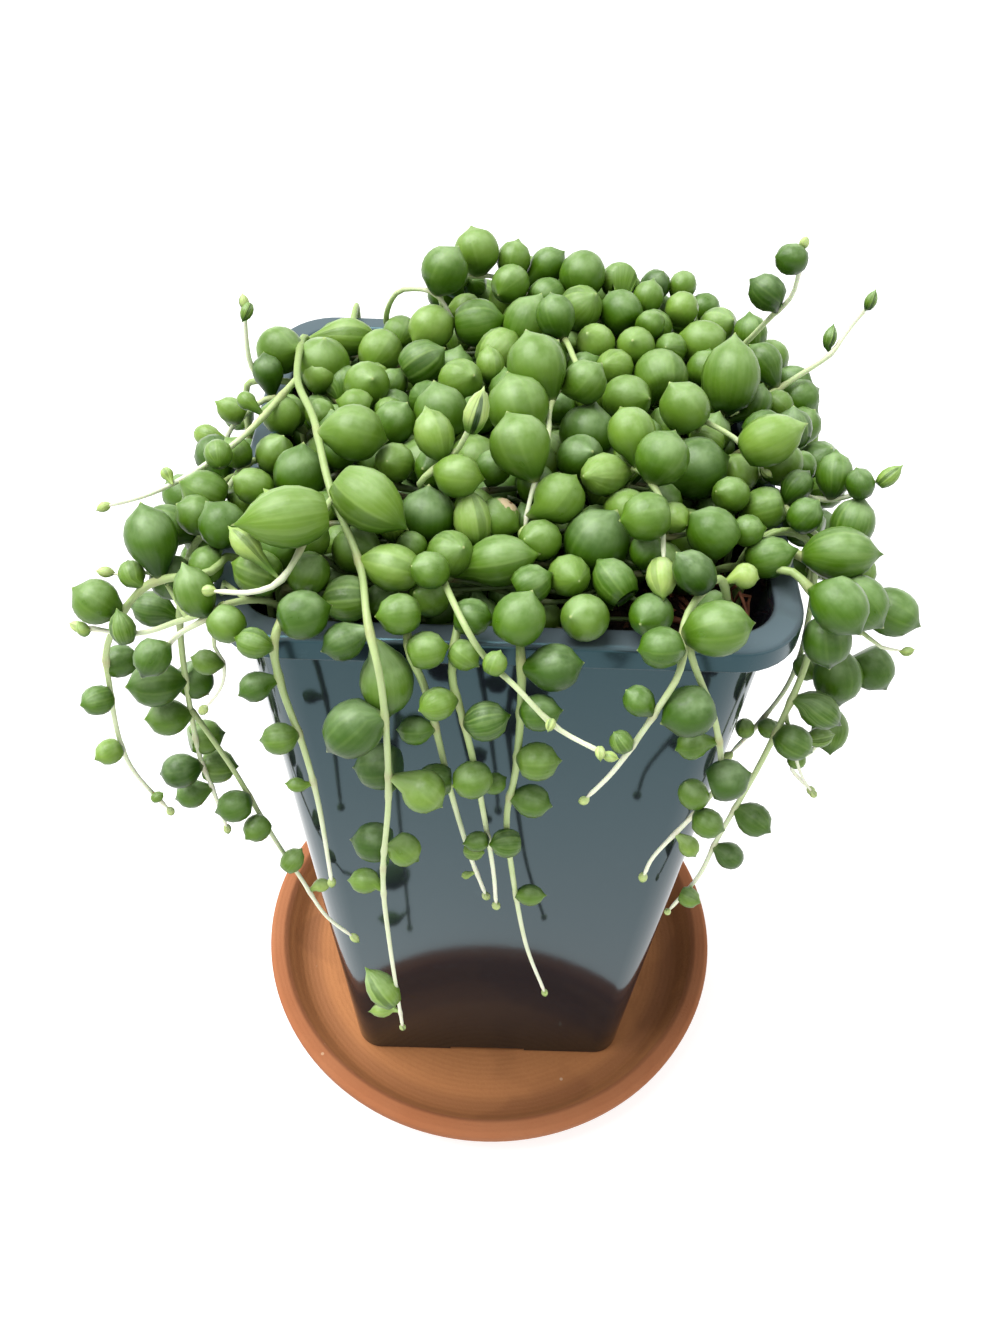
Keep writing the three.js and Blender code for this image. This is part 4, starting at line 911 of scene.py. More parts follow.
# How the strands of the rule hang: how far out, how far their tips turn in, and how long and wide they grow
HANG_OUT = 48.5
HANG_TUCK = 3.0
HANG_SHORTEST = 42.0
HANG_SPREAD = 55.0
HANG_SWAY = 8.0
HANG_FIRST = 22.0
HANG_OVER = 18.0
HANG_DROOP = -0.25
HANG_WIDEST = 7.6
HANG_NARROWING = 4.0
HANG_TURN = 35.0
HANG_TURN_SPREAD = 50.0
PEARL_SPACING = 12.0
OVER_RIM = ((37.6, 159.0), (42.0, 164.4), (HANG_OUT, 159.0))


class Draws:
    """Repeatable draws between 0 and 1."""

    MODULUS = 2147483647
    FACTOR = 16807

    def __init__(self, seed: int) -> None:
        """Starts the row of draws from any number from 1 on."""
        self.state = seed

    def __call__(self) -> float:
        """The next draw."""
        self.state = self.state * self.FACTOR % self.MODULUS
        return self.state / self.MODULUS


@dataclass
class Route:
    """A smooth line in short steps, with the distance along it at each."""

    steps: list[Vector]
    distances: list[float]

    @classmethod
    def through(cls, points: Iterable[Point]) -> "Route":
        """Draws a smooth line.

        Args:
            points: the points that it passes.

        Returns:
            The route.
        """
        knots = [Vector(p) for p in points]
        ends = [2 * knots[0] - knots[1], *knots, 2 * knots[-1] - knots[-2]]
        steps = []
        for before, start, stop, after in zip(ends, ends[1:], ends[2:], ends[3:]):
            leave, arrive = (stop - before) * 0.5, (after - start) * 0.5
            for k in range(CURVE_STEPS):
                t = k / CURVE_STEPS
                steps.append(start + leave * t
                             + (3 * (stop - start) - 2 * leave - arrive) * t ** 2
                             + (2 * (start - stop) + leave + arrive) * t ** 3)
        steps.append(knots[-1])
        distances = [0.0]
        for first, second in zip(steps, steps[1:]):
            distances.append(distances[-1] + (second - first).length)
        return cls(steps, distances)

    @property
    def length(self) -> float:
        """How long the route is."""
        return self.distances[-1]

    def at(self, distance: float) -> Vector:
        """Finds a point of the route.

        Args:
            distance: how far along the route it lies.

        Returns:
            The point.
        """
        wanted = min(max(distance, 0.0), self.length)
        i = 1
        while i < len(self.distances) - 1 and self.distances[i] < wanted:
            i += 1
        span = self.distances[i] - self.distances[i - 1]
        share = (wanted - self.distances[i - 1]) / span if span > 0 else 0.0
        return self.steps[i - 1].lerp(self.steps[i], share)

    def nearest(self, point: Vector) -> Vector:
        """The step of the route that lies nearest to a point."""
        return min(self.steps, key=lambda step: (step - point).length).copy()


def nearest_spot(routes: Iterable[Route], point: Vector) -> Vector:
    """The step of some routes that lies nearest to a point."""
    return min((route.nearest(point) for route in routes), key=lambda spot: (spot - point).length)


@dataclass(eq=False)
class Pearl:
    """One pearl: the foot of its stalk, its middle and its size."""

    foot: Vector
    centre: Vector
    width: float
    stretch: float = STRETCH
    give: float = 0.0
    strand: str = ""
    youth: float = 0.0
    lean: float = 0.25
    fine: bool = False
    flat: Optional[Vector] = None
    aim: Optional[Vector] = None
    place: int = -1
    tone: Optional[float] = None
    scar: bool = False
    shoot: Optional[Run] = None
    home: Vector = field(init=False)

    def __post_init__(self) -> None:
        """Remembers where the pearl grew."""
        self.home = self.centre.copy()

    @property
    def half(self) -> float:
        """How far it keeps others off."""
        return self.width * (0.5 + 0.2 * (self.stretch - 1.0))

    @property
    def axis(self) -> Vector:
        """The way that it points."""
        return self.aim or (self.centre - self.foot).normalized()

    def pose(self, routes: Sequence[Route]) -> None:
        """Gives a pearl of a table the look that it has in the photograph.

        Args:
            routes: the stems that its stalk may stand on.
        """
        look = PORTRAITS.get(self.strand, {}).get(self.place)
        if look:
            clock, self.width, self.stretch, self.tone, *shift = look
            self.flat, self.lean = clock_way(clock), 0.15
            if shift:
                self.centre = self.centre + RIGHT * shift[0] + UPWARD * shift[1] + TOWARDS * shift[2]
            self.foot = nearest_spot(routes, self.centre - self.flat * (self.width * self.stretch / 2))
        if self.flat:
            away = (self.centre - self.foot).normalized()
            self.aim = (self.flat + away * max(0.5, 0.7 - self.flat.dot(away))).normalized()

    def balls(self) -> list[tuple[Vector, float]]:
        """Fills it with balls: its belly, its two shoulders, its stalk and its point.

        Returns:
            The middle and the radius of each.
        """
        axis = self.axis
        belly = self.width / 2
        narrow = 0.62
        shoulder = belly * (self.stretch - narrow)
        stalk = ((self.centre - self.foot).length + belly * 0.8) / 2
        spots = ((0.0, belly), (shoulder, belly * narrow), (-shoulder, belly * narrow),
                 (-stalk, belly * 0.3), (belly * self.stretch * POINT_REACH, belly * 0.08))
        return [(self.centre + axis * offset, radius) for offset, radius in spots]


@dataclass
class Stem:
    """One run of a stem."""

    route: Route
    thick: float
    youth: float = 0.3
    tip: float = TIP_RADIUS
    ripening: float = 0.7

    def radius(self, share: float) -> float:
        """The radius at a share of its length."""
        return self.thick + (self.tip - self.thick) * share

    def balls(self, strand: str, thick: Optional[float] = None) -> list[tuple[Vector, float, str]]:
        """The balls that fill it.

        Args:
            strand: the strand that it belongs to.
            thick: the radius at its start, if it isn't its own.

        Returns:
            The middle, the radius and the strand of each ball.
        """
        start = self.thick if thick is None else thick
        found = []
        distance = 0.0
        while distance <= self.route.length:
            share = distance / self.route.length
            found.append((self.route.at(distance), start + (TIP_RADIUS - start) * share, strand))
            distance += BALL_SPACING
        return found


@dataclass
class Grown:
    """All that grows from one root: its stems and its pearls."""

    stems: list[Stem] = field(default_factory=list)
    pearls: list[Pearl] = field(default_factory=list)
    knotted: list[Pearl] = field(default_factory=list)


def mound_height(x: float, y: float) -> float:
    """Tells how high the middles of the pearls lie over a place in the mouth of the pot.

    Args:
        x: how far right the place lies.
        y: how far back it lies.

    Returns:
        The height.
    """
    edge = min(1.0, max(abs(x), abs(y)) / MOUND_HALF)
    humps = sum(height * math.exp(-((x - cx) / wide) ** 2 - ((y - cy) / deep) ** 2)
                for height, cx, cy, wide, deep in MOUND_HUMPS)
    return MOUND_EDGE + MOUND_RISE * (1 - edge ** MOUND_FALL) + humps


def body_half(z: float) -> float:
    """Half the width of the pot's body at a height."""
    return FOOT_HALF + (POT_TOP_HALF - FOOT_HALF) * (z - SAUCER_FLOOR) / (RIM_TOP - SAUCER_FLOOR)


def body_corner(z: float) -> float:
    """The radius of the body's corners at a height."""
    return FOOT_CORNER + (BODY_CORNER - FOOT_CORNER) * (z - SAUCER_FLOOR) / (RIM_TOP - SAUCER_FLOOR)


def pot_distance(point: Vector) -> tuple[float, Vector]:
    """How far a point is from the pot's wall and rim.

    Args:
        point: the point.

    Returns:
        The distance, and the way out from the pot.
    """
    out = max(abs(point.x), abs(point.y))
    if abs(point.x) > abs(point.y):
        outward = Vector((math.copysign(1.0, point.x), 0.0, 0.0))
    else:
        outward = Vector((0.0, math.copysign(1.0, point.y), 0.0))
    outer = RIM_HALF if point.z > RIM_TOP - RIM_DROP - 2 else body_half(point.z)
    rise = max(point.z - RIM_TOP, 0.0)
    beyond = max(out - outer, 0.0)
    within = max(RIM_INNER_HALF - POT_WALL / 2 - out, 0.0)
    if rise == 0 and beyond == 0 and within == 0:
        middle = (RIM_HALF + RIM_INNER_HALF) / 2
        return 0.0, outward if out > middle else Vector((0.0, 0.0, 1.0))
    way = outward * (beyond if beyond > 0 else -within)
    way.z += rise
    return way.length, way.normalized()


def clock_way(clock: float) -> Vector:
    """The way of a clock angle in the plane of the photograph."""
    return RIGHT * math.cos(math.radians(clock)) + UPWARD * math.sin(math.radians(clock))


def pearl_on_stem(route: Route, entry: Sequence[float]) -> Pearl:
    """Sets a pearl of a table on its stem.

    Args:
        route: the stem's route.
        entry: the pearl in the form that a run gives it.

    Returns:
        The pearl.
    """
    along, clock, width, reach, *stretch = entry
    foot = route.at(along)
    side = abs(reach)
    hold = max(side, width / 2 + NECK)
    depth = math.copysign(math.sqrt(hold * hold - side * side), reach)
    centre = foot + clock_way(clock) * side + TOWARDS * depth
    return Pearl(foot, centre, width, *stretch, give=0.25, flat=clock_way(clock))


@dataclass
class Garden:
    """Grows the whole plant by the rule that shaped its solids, and then its lower pearls."""

    seed: int = 2024
    grown: dict[str, Grown] = field(default_factory=dict)
    pearls: list[Pearl] = field(default_factory=list)
    stem_balls: list[tuple[Vector, float, str]] = field(default_factory=list)

    def __post_init__(self) -> None:
        """Starts the draws."""
        self.draw = Draws(self.seed)

    def grow(self) -> dict[str, Grown]:
        """Grows every strand.

        Returns:
            What grows from each root, by the strand's name.
        """
        self._raise_strands()
        self._raise_rows()
        self._settle()
        self._lay_rows()
        self._make_room()
        self._follow_photo()
        strand, place = SCARRED
        for p in self.grown[strand].pearls:
            p.scar = p.place == place
        Understorey(self).fill()
        return self.grown

    def _follow_photo(self) -> None:
        """Moves the grown plant from the model's simpler shape to the photograph's."""
        self._keep([p for p in self.pearls
                    if p.strand not in BARE_STRANDS or p.centre.z < RIM_TOP - BARE_DROP])
        for bare in BARE_STRANDS:
            for spot in self.grown[bare].stems[0].route.steps:
                spot.z = min(spot.z, STEM_LYING + (spot.z - STEM_LYING) * LYING_SHARE)
        for strand, step in BROUGHT_FORWARD.items():
            grown = self.grown[strand]
            for spot in grown.stems[0].route.steps + [p.foot for p in grown.pearls]:
                way = (Vector(CAMERA_PLACE) - spot).normalized()
                spot += way * (step * near_share(spot.z, *FORWARD_HEIGHTS))
        for strand, (count, way) in ROOTED_ELSEWHERE.items():
            for k, spot in enumerate(self.grown[strand].stems[0].route.steps[:count]):
                spot += way * (1 - k / count)
        for strand, grown in self.grown.items():
            for stem in grown.stems if strand in STRANDS else grown.stems[:0:-1]:
                self._add_bud(strand, stem)
            for run in SPRIGS.get(strand, ()):
                stem = Stem(Route.through(run.stem), SPRIG_RADIUS, 0.5, tip=FINE_TIP)
                grown.stems.append(stem)
                self.add(strand, [pearl_on_stem(stem.route, entry) for entry in run.pearls])
                self._add_bud(strand, stem)
        for p in self.pearls:
            p.pose([stem.route for stem in self.grown[p.strand].stems])
            p.fine = p.width > FINE_WIDTH

    def _add_bud(self, strand: str, stem: Stem) -> None:
        """Sets a tiny young leaf at the end of a stem.

        Args:
            strand: the strand's name.
            stem: the stem.
        """
        end, before = stem.route.steps[-1], stem.route.steps[-4]
        way = (end - before).normalized()
        width = BUD_WIDTH + BUD_SPREAD * self.draw()
        self.add(strand, [Pearl(end - way * 0.4, end + way * 0.7, width, 1.5, youth=0.3)])

    def add(self, strand: str, pearls: Iterable[Pearl]) -> None:
        """Adds pearls to a strand.

        Args:
            strand: the strand's name.
            pearls: the pearls.
        """
        for pearl in pearls:
            pearl.strand, pearl.place = strand, len(self.grown[strand].pearls)
            self.grown[strand].pearls.append(pearl)
            self.pearls.append(pearl)

    def _raise_strands(self) -> None:
        """Raises the strands that hang over the rim."""
        for strand, runs in STRANDS.items():
            self.grown[strand] = Grown()
            for index, run in enumerate(runs):
                stem = Stem(Route.through(run.stem), BRANCH_RADIUS if index else STEM_RADIUS,
                            0.3 + 0.2 * bool(index))
                self.grown[strand].stems.append(stem)
                self.stem_balls += stem.balls(strand, STEM_RADIUS)
                self.add(strand, [pearl_on_stem(stem.route, entry) for entry in run.pearls])
        for strand, (root, side) in HIDDEN_STRANDS.items():
            self.grown[strand] = Grown()
            stem, pearls = self._hanging_run(root, side)
            self.grown[strand].stems.append(stem)
            self.stem_balls += stem.balls(strand)
            self.add(strand, pearls)

    def _hanging_run(self, root: tuple[float, float], side: Side) -> tuple[Stem, list[Pearl]]:
        """Hangs a strand by rule: up beside the rim, over it and straight down.

        Args:
            root: where it comes out of the soil.
            side: the side that it hangs over.

        Returns:
            The stem, and its pearls to either side in turn.
        """
        (x, y), (ox, oy) = root, side.value
        beside = x * abs(oy) + y * abs(ox)
        length = HANG_SHORTEST + HANG_SPREAD * self.draw()
        sway = (self.draw() - 0.5) * HANG_SWAY
        route = Route.through([
            (x, y, ROOT_HEIGHT), *[side.spot(beside, out, z) for out, z in OVER_RIM],
            side.spot(beside, HANG_OUT, RIM_TOP - length / 2),
            side.spot(beside + sway, HANG_OUT - HANG_TUCK, RIM_TOP - length)])
        outward, sideways = Vector((ox, oy, 0.0)), Vector((-oy, ox, 0.0))
        pearls = []
        turn_side = 1
        along = HANG_FIRST
        while along < length + HANG_OVER:
            share = along / (length + HANG_OVER)
            width = (HANG_WIDEST - HANG_NARROWING * share * share) * (0.85 + 0.3 * self.draw())
            turn = math.radians(turn_side * (HANG_TURN + HANG_TURN_SPREAD * self.draw()))
            stretch = 1.05 + 0.2 * self.draw()
            way = outward * math.cos(turn) + sideways * math.sin(turn)
            way.z = HANG_DROOP
            foot = route.at(along)
            pearls.append(Pearl(foot, foot + way.normalized() * (width / 2 + NECK), width, stretch, give=0.5))
            turn_side = -turn_side
            along += PEARL_SPACING * (0.75 + 0.5 * self.draw())
        return Stem(route, STEM_RADIUS), pearls

    def _raise_rows(self) -> None:
        """Sets the pearls of the rows and of their shoots."""
        for strand, row in ROWS.items():
            grown = self.grown[strand] = Grown()
            for x, y, width, *stretch in row.pearls:
                centre = Vector((x, y, mound_height(x, y)))
                grown.knotted.append(Pearl(centre.copy(), centre, width, *stretch, give=1.0, lean=1.0))
            self.add(strand, grown.knotted)
            for shoot in row.shoots:
                stem = Stem(Route.through(shoot.stem), BRANCH_RADIUS)
                self.stem_balls += stem.balls(strand)
                pearls = [pearl_on_stem(stem.route, entry) for entry in shoot.pearls]
                for pearl in pearls:
                    pearl.shoot = shoot
                self.add(strand, pearls)

    def _settle(self) -> None:
        """Pearls push each other, the stems and the pot away, and are drawn back to where they grew."""
        pairs = []
        for i, a in enumerate(self.pearls):
            pairs += [(a, b) for b in self.pearls[i + 1:] if (a.centre - b.centre).length < PAIR_REACH]
        near = [[(middle, radius) for middle, radius, strand in self.stem_balls
                 if strand != p.strand and (middle - p.centre).length < PAIR_REACH] for p in self.pearls]
        for turn in range(RELAX_ROUNDS):
            for a, b in pairs:
                way = b.centre - a.centre
                distance = max(way.length, 0.01)
                lap = a.half + b.half + CLEARANCE - distance
                if lap > 0:
                    way *= lap / distance / (a.give + b.give)
                    a.centre -= way * a.give
                    b.centre += way * b.give
            for p, balls in zip(self.pearls, near):
                self._push_off(p, balls)
                if turn < RELAX_ROUNDS - FREE_ROUNDS:
                    p.centre = p.centre.lerp(p.home, HOMING)

    @staticmethod
    def _push_off(p: Pearl, balls: Sequence[tuple[Vector, float]]) -> None:
        """Pushes a pearl off the stems and the pot.

        Args:
            p: the pearl.
            balls: the middles and radii of the balls of stems near it.
        """
        for middle, radius in balls:
            way = p.centre - middle
            distance = max(way.length, 0.01)
            lap = p.half + radius + CLEARANCE - distance
            if lap > 0:
                p.centre += way * (lap / distance)
        distance, way = pot_distance(p.centre)
        sunk = p.half + CLEARANCE - distance
        if sunk > 0:
            p.centre += way * sunk

    def _lay_rows(self) -> None:
        """Lays the stems of the rows and of their shoots."""
        for strand, row in ROWS.items():
            grown = self.grown[strand]
            self.add(strand, self._lay_row(grown))
            for shoot in row.shoots:
                self._lay_shoot(grown, shoot)
            for stem in grown.stems:
                self.stem_balls += stem.balls(strand)

    def _lay_row(self, grown: Grown) -> list[Pearl]:
        """Lays a row's stem beneath its settled pearls.

        Args:
            grown: the row.

        Returns:
            Lower pearls that hang in its wide gaps.
        """
        knots = []
        for p in grown.knotted:
            x, y = (min(max(part, -ROW_REACH), ROW_REACH) for part in (p.centre.x, p.centre.y))
            knots.append(Vector((x, y, p.centre.z - p.width / 2 - ROW_STEM_DROP)))
        route = Route.through([(knots[0].x, knots[0].y, ROOT_HEIGHT), *knots])
        for p, knot in zip(grown.knotted, knots):
            p.foot = route.nearest(knot)
        lower = []
        side = 1
        for first, second in zip(grown.knotted, grown.knotted[1:]):
            before, after = first.foot, second.foot
            if (after - before).length < UNDER_GAP:
                continue
            foot = route.nearest(after.lerp(before, 0.5))
            width = UNDER_WIDTH + UNDER_SPREAD * self.draw()
            lower.append(Pearl(foot, foot + Vector((0.0, side * (width / 2 + NECK), 1.0)), width))
            side = -side
        # No youth gives the row's stem the shaded colour: painted shade deep in the mound
        grown.stems.append(Stem(route, STEM_RADIUS, 0.0, ripening=0.12))
        return lower

    @staticmethod
    def _lay_shoot(grown: Grown, shoot: Run) -> None:
        """Lays a shoot's stem from under the nearest pearl of its row.

        Args:
            grown: the row.
            shoot: the shoot.
        """
        start = Vector(shoot.stem[0])
        nearest = min((p.foot for p in grown.knotted), key=lambda foot: (foot - start).length)
        route = Route.through([nearest, *shoot.stem])
        for p in grown.pearls:
            if p.shoot is shoot:
                p.foot = route.nearest(p.foot)
                p.youth = 0.25 * near_share(p.width, 7.5, 5.0)
        grown.stems.append(Stem(route, BRANCH_RADIUS, 0.4, ripening=0.5))

    def is_clear(self, p: Pearl, others: Iterable[Pearl], own: bool = False,
                 gap: float = CLEARANCE / 2) -> bool:
        """Tells whether a pearl touches nothing.

        Args:
            p: the pearl.
            others: the pearls that it may touch.
            own: whether the pearls of its own strand count too.
            gap: how far it has to stay away.

        Returns:
            True if it is clear.
        """
        mine = p.balls()
        reach = p.width * p.stretch + 3
        if any(pot_distance(middle)[0] < radius + gap for middle, radius in mine):
            return False
        balls = [ball for other in others
                 if (own or other.strand != p.strand)
                 and (other.centre - p.centre).length < reach + other.width
                 for ball in other.balls()]
        balls += [(middle, radius) for middle, radius, strand in self.stem_balls
                  if strand != p.strand and (middle - p.centre).length < reach]
        return not any((a - b).length < ra + rb + gap for a, ra in mine for b, rb in balls)

    def _make_room(self) -> None:
        """Pearls that still touch another strand shrink towards their stalks, or are left out."""
        kept = []
        for p in self.pearls:
            away = p.centre - p.foot
            width, hold = p.width, away.length
            away.normalize()
            share = 1.0
            while share >= SMALLEST_SHARE and not self.is_clear(p, kept):
                share -= SHRINK_STEP
                p.width = width * share
                nearest = max(p.width / 2 + NECK, hold - width * (1 - share) / 2)
                p.centre = p.foot + away * min(hold, nearest)
            if share >= SMALLEST_SHARE:
                kept.append(p)
        self._keep(kept)

    def _keep(self, kept: list[Pearl]) -> None:
        """Leaves out all pearls but some."""
        self.pearls = kept
        for grown in self.grown.values():
            grown.pearls = [p for p in grown.pearls if p in kept]


@dataclass
class Understorey:
    """The pearls and thin stems under and between the rows, and more pearls on the strands at the back."""

    garden: Garden
    seed: int = 77
    spacing: float = 6.4
    depths: tuple[float, ...] = (6.5, 10.5)
    reach: float = 36.0
    margin: float = 2.0
    knot_step: float = 6.0
    step: float = 3.4
    widths: tuple[float, float] = (5.0, 7.6)
    wave: float = 1.8
    bend: float = 0.35
    open_corner: tuple[float, float] = (25.5, -24.0)
    drape_step: float = 8.5
    drape_ends: tuple[tuple[Side, float, float], ...] = (
        (Side.LEFT, -31.0, -12.0), (Side.RIGHT, -25.0, 33.0), (Side.BACK, -8.0, 33.0))
    drape_line: tuple[Point, ...] = (
        (34.0, 0.0, 151.0), (36.5, 0.1, 160.0), (40.5, 0.4, 164.6), (45.0, 0.8, 164.0), (48.8, 1.0, 158.0))
    drape_end: tuple[float, float] = (49.5, 1.1)
    drape_widths: tuple[float, float] = (4.6, 7.2)
    hidden_widths: tuple[float, float] = (4.2, 6.6)
    hidden_shift: float = 14.0
    tries: int = 14

    def __post_init__(self) -> None:
        """Starts the draws."""
        self.draw = Draws(self.seed)

    def fill(self) -> None:
        """Fills the mound and the hidden strands."""
        for depth in self.depths:
            count = int(2 * self.reach / self.spacing) + 1
            for k in range(count):
                self._cross(self.reach - k * self.spacing - depth % 3, depth)
        for side, low, high in self.drape_ends:
            place = low
            while place < high:
                self._drape(side, place)
                place += self.drape_step * (0.8 + 0.4 * self.draw())
        for strand in HIDDEN_STRANDS:
            stem = self.garden.grown[strand].stems[0]
            shift = self.hidden_shift if strand in BARE_STRANDS else -self.hidden_shift
            self._clothe(strand, stem, HANG_FIRST + shift, stem.route.length - 2, 3.0, self.hidden_widths)

    def _drape(self, side: Side, place: float) -> None:
        """Lays one short shoot out over the rim and along it.

        Args:
            side: the side of the rim.
            place: how far along that side it starts.
        """
        drift = self.draw() * 8 - 4
        drop = 146.0 + 10 * self.draw()
        points = [side.spot(place + drift * share, out, z)
                  for out, share, z in (*self.drape_line, (*self.drape_end, drop))]
        stem = Stem(Route.through(points), BRANCH_RADIUS, 0.1, ripening=0.4)
        roots = {name: runs[0].stem[0] for name, runs in STRANDS.items()}
        roots.update({name: root for name, (root, _) in HIDDEN_STRANDS.items()})
        strand = min(roots, key=lambda name: math.dist(roots[name][:2], points[0][:2]))
        self.garden.grown[strand].stems.append(stem)
        self._clothe(strand, stem, 9.0, stem.route.length, 2.4, self.drape_widths)

    def _cross(self, y: float, depth: float) -> None:
        """Lays one thin stem across the mouth, with its pearls.

        Args:
            y: where it crosses.
            depth: how far below the top pearls it lies.
        """
        stop = (self.open_corner[0] if y < self.open_corner[1] else self.reach) - self.margin
        x = -self.reach + self.margin
        points = []
        while x <= stop:
            points.append((x, y + self.wave * math.sin(x * self.bend + y), mound_height(x, y) - depth))
            x += self.knot_step
        points.insert(0, (points[0][0], points[0][1], ROOT_HEIGHT - self.margin))
        # No youth gives this stem the shaded colour: painted shade between the rows
        stem = Stem(Route.through(points), 0.8, 0.0, ripening=0.1)
        strand = min(ROWS, key=lambda name: abs(self._row_middle(name) - y))
        self.garden.grown[strand].stems.append(stem)
        self._clothe(strand, stem, 8.0, stem.route.length, self.step, self.widths)

    @staticmethod
    def _row_middle(name: str) -> float:
        """How far back a row lies."""
        places = [pearl[1] for pearl in ROWS[name].pearls]
        return sum(places) / len(places)

    def _clothe(self, strand: str, stem: Stem, start: float, stop: float, step: float,
                widths: tuple[float, float]) -> None:
        """Sets pearls on a stem wherever one fits.

        Args:
            strand: the strand that they belong to.
            stem: the stem that carries them.
            start: where the first may grow, in mm along the stem.
            stop: where the last may grow.
            step: the distance from one place to the next.
            widths: the least and the most width.
        """
        garden = self.garden
        along = start
        while along < stop:
            foot = stem.route.at(along)
            tangent = (stem.route.at(along + 1) - stem.route.at(along - 1)).normalized()
            along += step * (0.7 + 0.6 * self.draw())
            for attempt in range(self.tries):
                width = widths[1] - (widths[1] - widths[0]) * (attempt + self.draw()) / self.tries
                way = Vector((self.draw() - 0.5, self.draw() - 0.5, self.draw() - 0.35))
                way = (way - tangent * (way.dot(tangent) * 0.8)).normalized()
                hold = width / 2 + NECK * (1 + 2 * self.draw())
                pearl = Pearl(foot, foot + way * hold, width, 1.02 + 0.16 * self.draw(),
                              strand=strand, lean=0.7)
                if self._fits(pearl):
                    garden.add(strand, [pearl])
                    break

    def _fits(self, pearl: Pearl) -> bool:
        """Tells whether a pearl has room and lies over the soil.

        Args:
            pearl: the pearl.

        Returns:
            True if it may stay.
        """
        x, y, z = pearl.centre
        if x > self.open_corner[0] and y < self.open_corner[1]:
            return False
        if max(abs(x), abs(y)) < RIM_INNER_HALF and z < SOIL_EDGE + pearl.width / 2:
            return False
        return self.garden.is_clear(pearl, self.garden.pearls, own=True, gap=-0.3)


def near_share(value: float, low: float, high: float) -> float:
    """Goes from 0 to 1 between two values."""
    return min(max((value - low) / (high - low), 0.0), 1.0)


def make_object(name: str, points: Iterable[Point], faces: Sequence[Sequence[int]],
                edges: Sequence[tuple[int, int]] = ()) -> Piece:
    """Makes a mesh object at the origin.

    Args:
        name: the object's name.
        points: its points in millimetres.
        faces: its faces.
        edges: edges without a face.

    Returns:
        The object.
    """
    mesh = bpy.data.meshes.new(name)
    mesh.from_pydata([tuple(c * MM for c in p) for p in points], edges, faces)
    mesh.update()
    made = bpy.data.objects.new(name, mesh)
    bpy.context.scene.collection.objects.link(made)
    return made


def apply_modifiers(piece: Piece) -> None:
    """Turns what the modifiers of a piece give into its plain mesh.

    Args:
        piece: the piece.
    """
    bpy.context.view_layer.update()
    graph = bpy.context.evaluated_depsgraph_get()
    mesh = bpy.data.meshes.new_from_object(piece.evaluated_get(graph))
    mesh.name = piece.name
    piece.modifiers.clear()
    piece.data = mesh


def smooth(piece: Piece, angle: float) -> None:
    """Shades a piece smoothly, apart from edges sharper than an angle in degrees."""
    piece.data.shade_smooth()
    piece.data.set_sharp_from_angle(angle=math.radians(angle))


def hand_over(piece: Piece, node: str = "") -> None:
    """Ties a finished piece to the frame and reports it.

    Args:
        piece: the piece.
        node: the node that it stands for, if any.
    """
    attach(piece, BODY)
    if node:
        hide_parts(node)
    LOG.info("%s: %d faces", piece.name, len(piece.data.polygons))


def loft(rings: Sequence[Sequence[Point]]) -> tuple[list[Point], list[list[int]]]:
    """Joins rings of points into a closed skin, with its first and last ring filled.

    Args:
        rings: closed rings with the same number of points.

    Returns:
        The points and the faces.
    """
    size = len(rings[0])
    points = [p for ring in rings for p in ring]
    faces = []
    for k in range(len(rings) - 1):
        for i in range(size):
            a, b = k * size + i, k * size + (i + 1) % size
            faces.append([a, b, b + size, a + size])
    faces.append(list(range(size))[::-1])
    faces.append(list(range(len(points) - size, len(points))))
    return points, faces


def round_off(profile: Sequence[tuple[float, float, float]], steps: int = 5) -> list[tuple[float, float]]:
    """Rounds the corners of a section.

    Args:
        profile: how far out and how high each corner lies, and the radius of its rounding.
        steps: how many steps a rounding has.

    Returns:
        The points of the rounded section.
    """
    rounded: list[tuple[float, float]] = []
    for i, (r, z, radius) in enumerate(profile):
        here = Vector((r, z))
        if radius <= 0 or i in (0, len(profile) - 1):
            rounded.append((r, z))
            continue
        to_last = Vector(profile[i - 1][:2]) - here
        to_next = Vector(profile[i + 1][:2]) - here
        cut = min(radius, to_last.length * 0.49, to_next.length * 0.49)
        first, last = here + to_last.normalized() * cut, here + to_next.normalized() * cut
        for k in range(steps + 1):
            t = k / steps
            spot = first * (1 - t) ** 2 + here * (2 * t * (1 - t)) + last * t ** 2
            rounded.append((spot.x, spot.y))
    return rounded


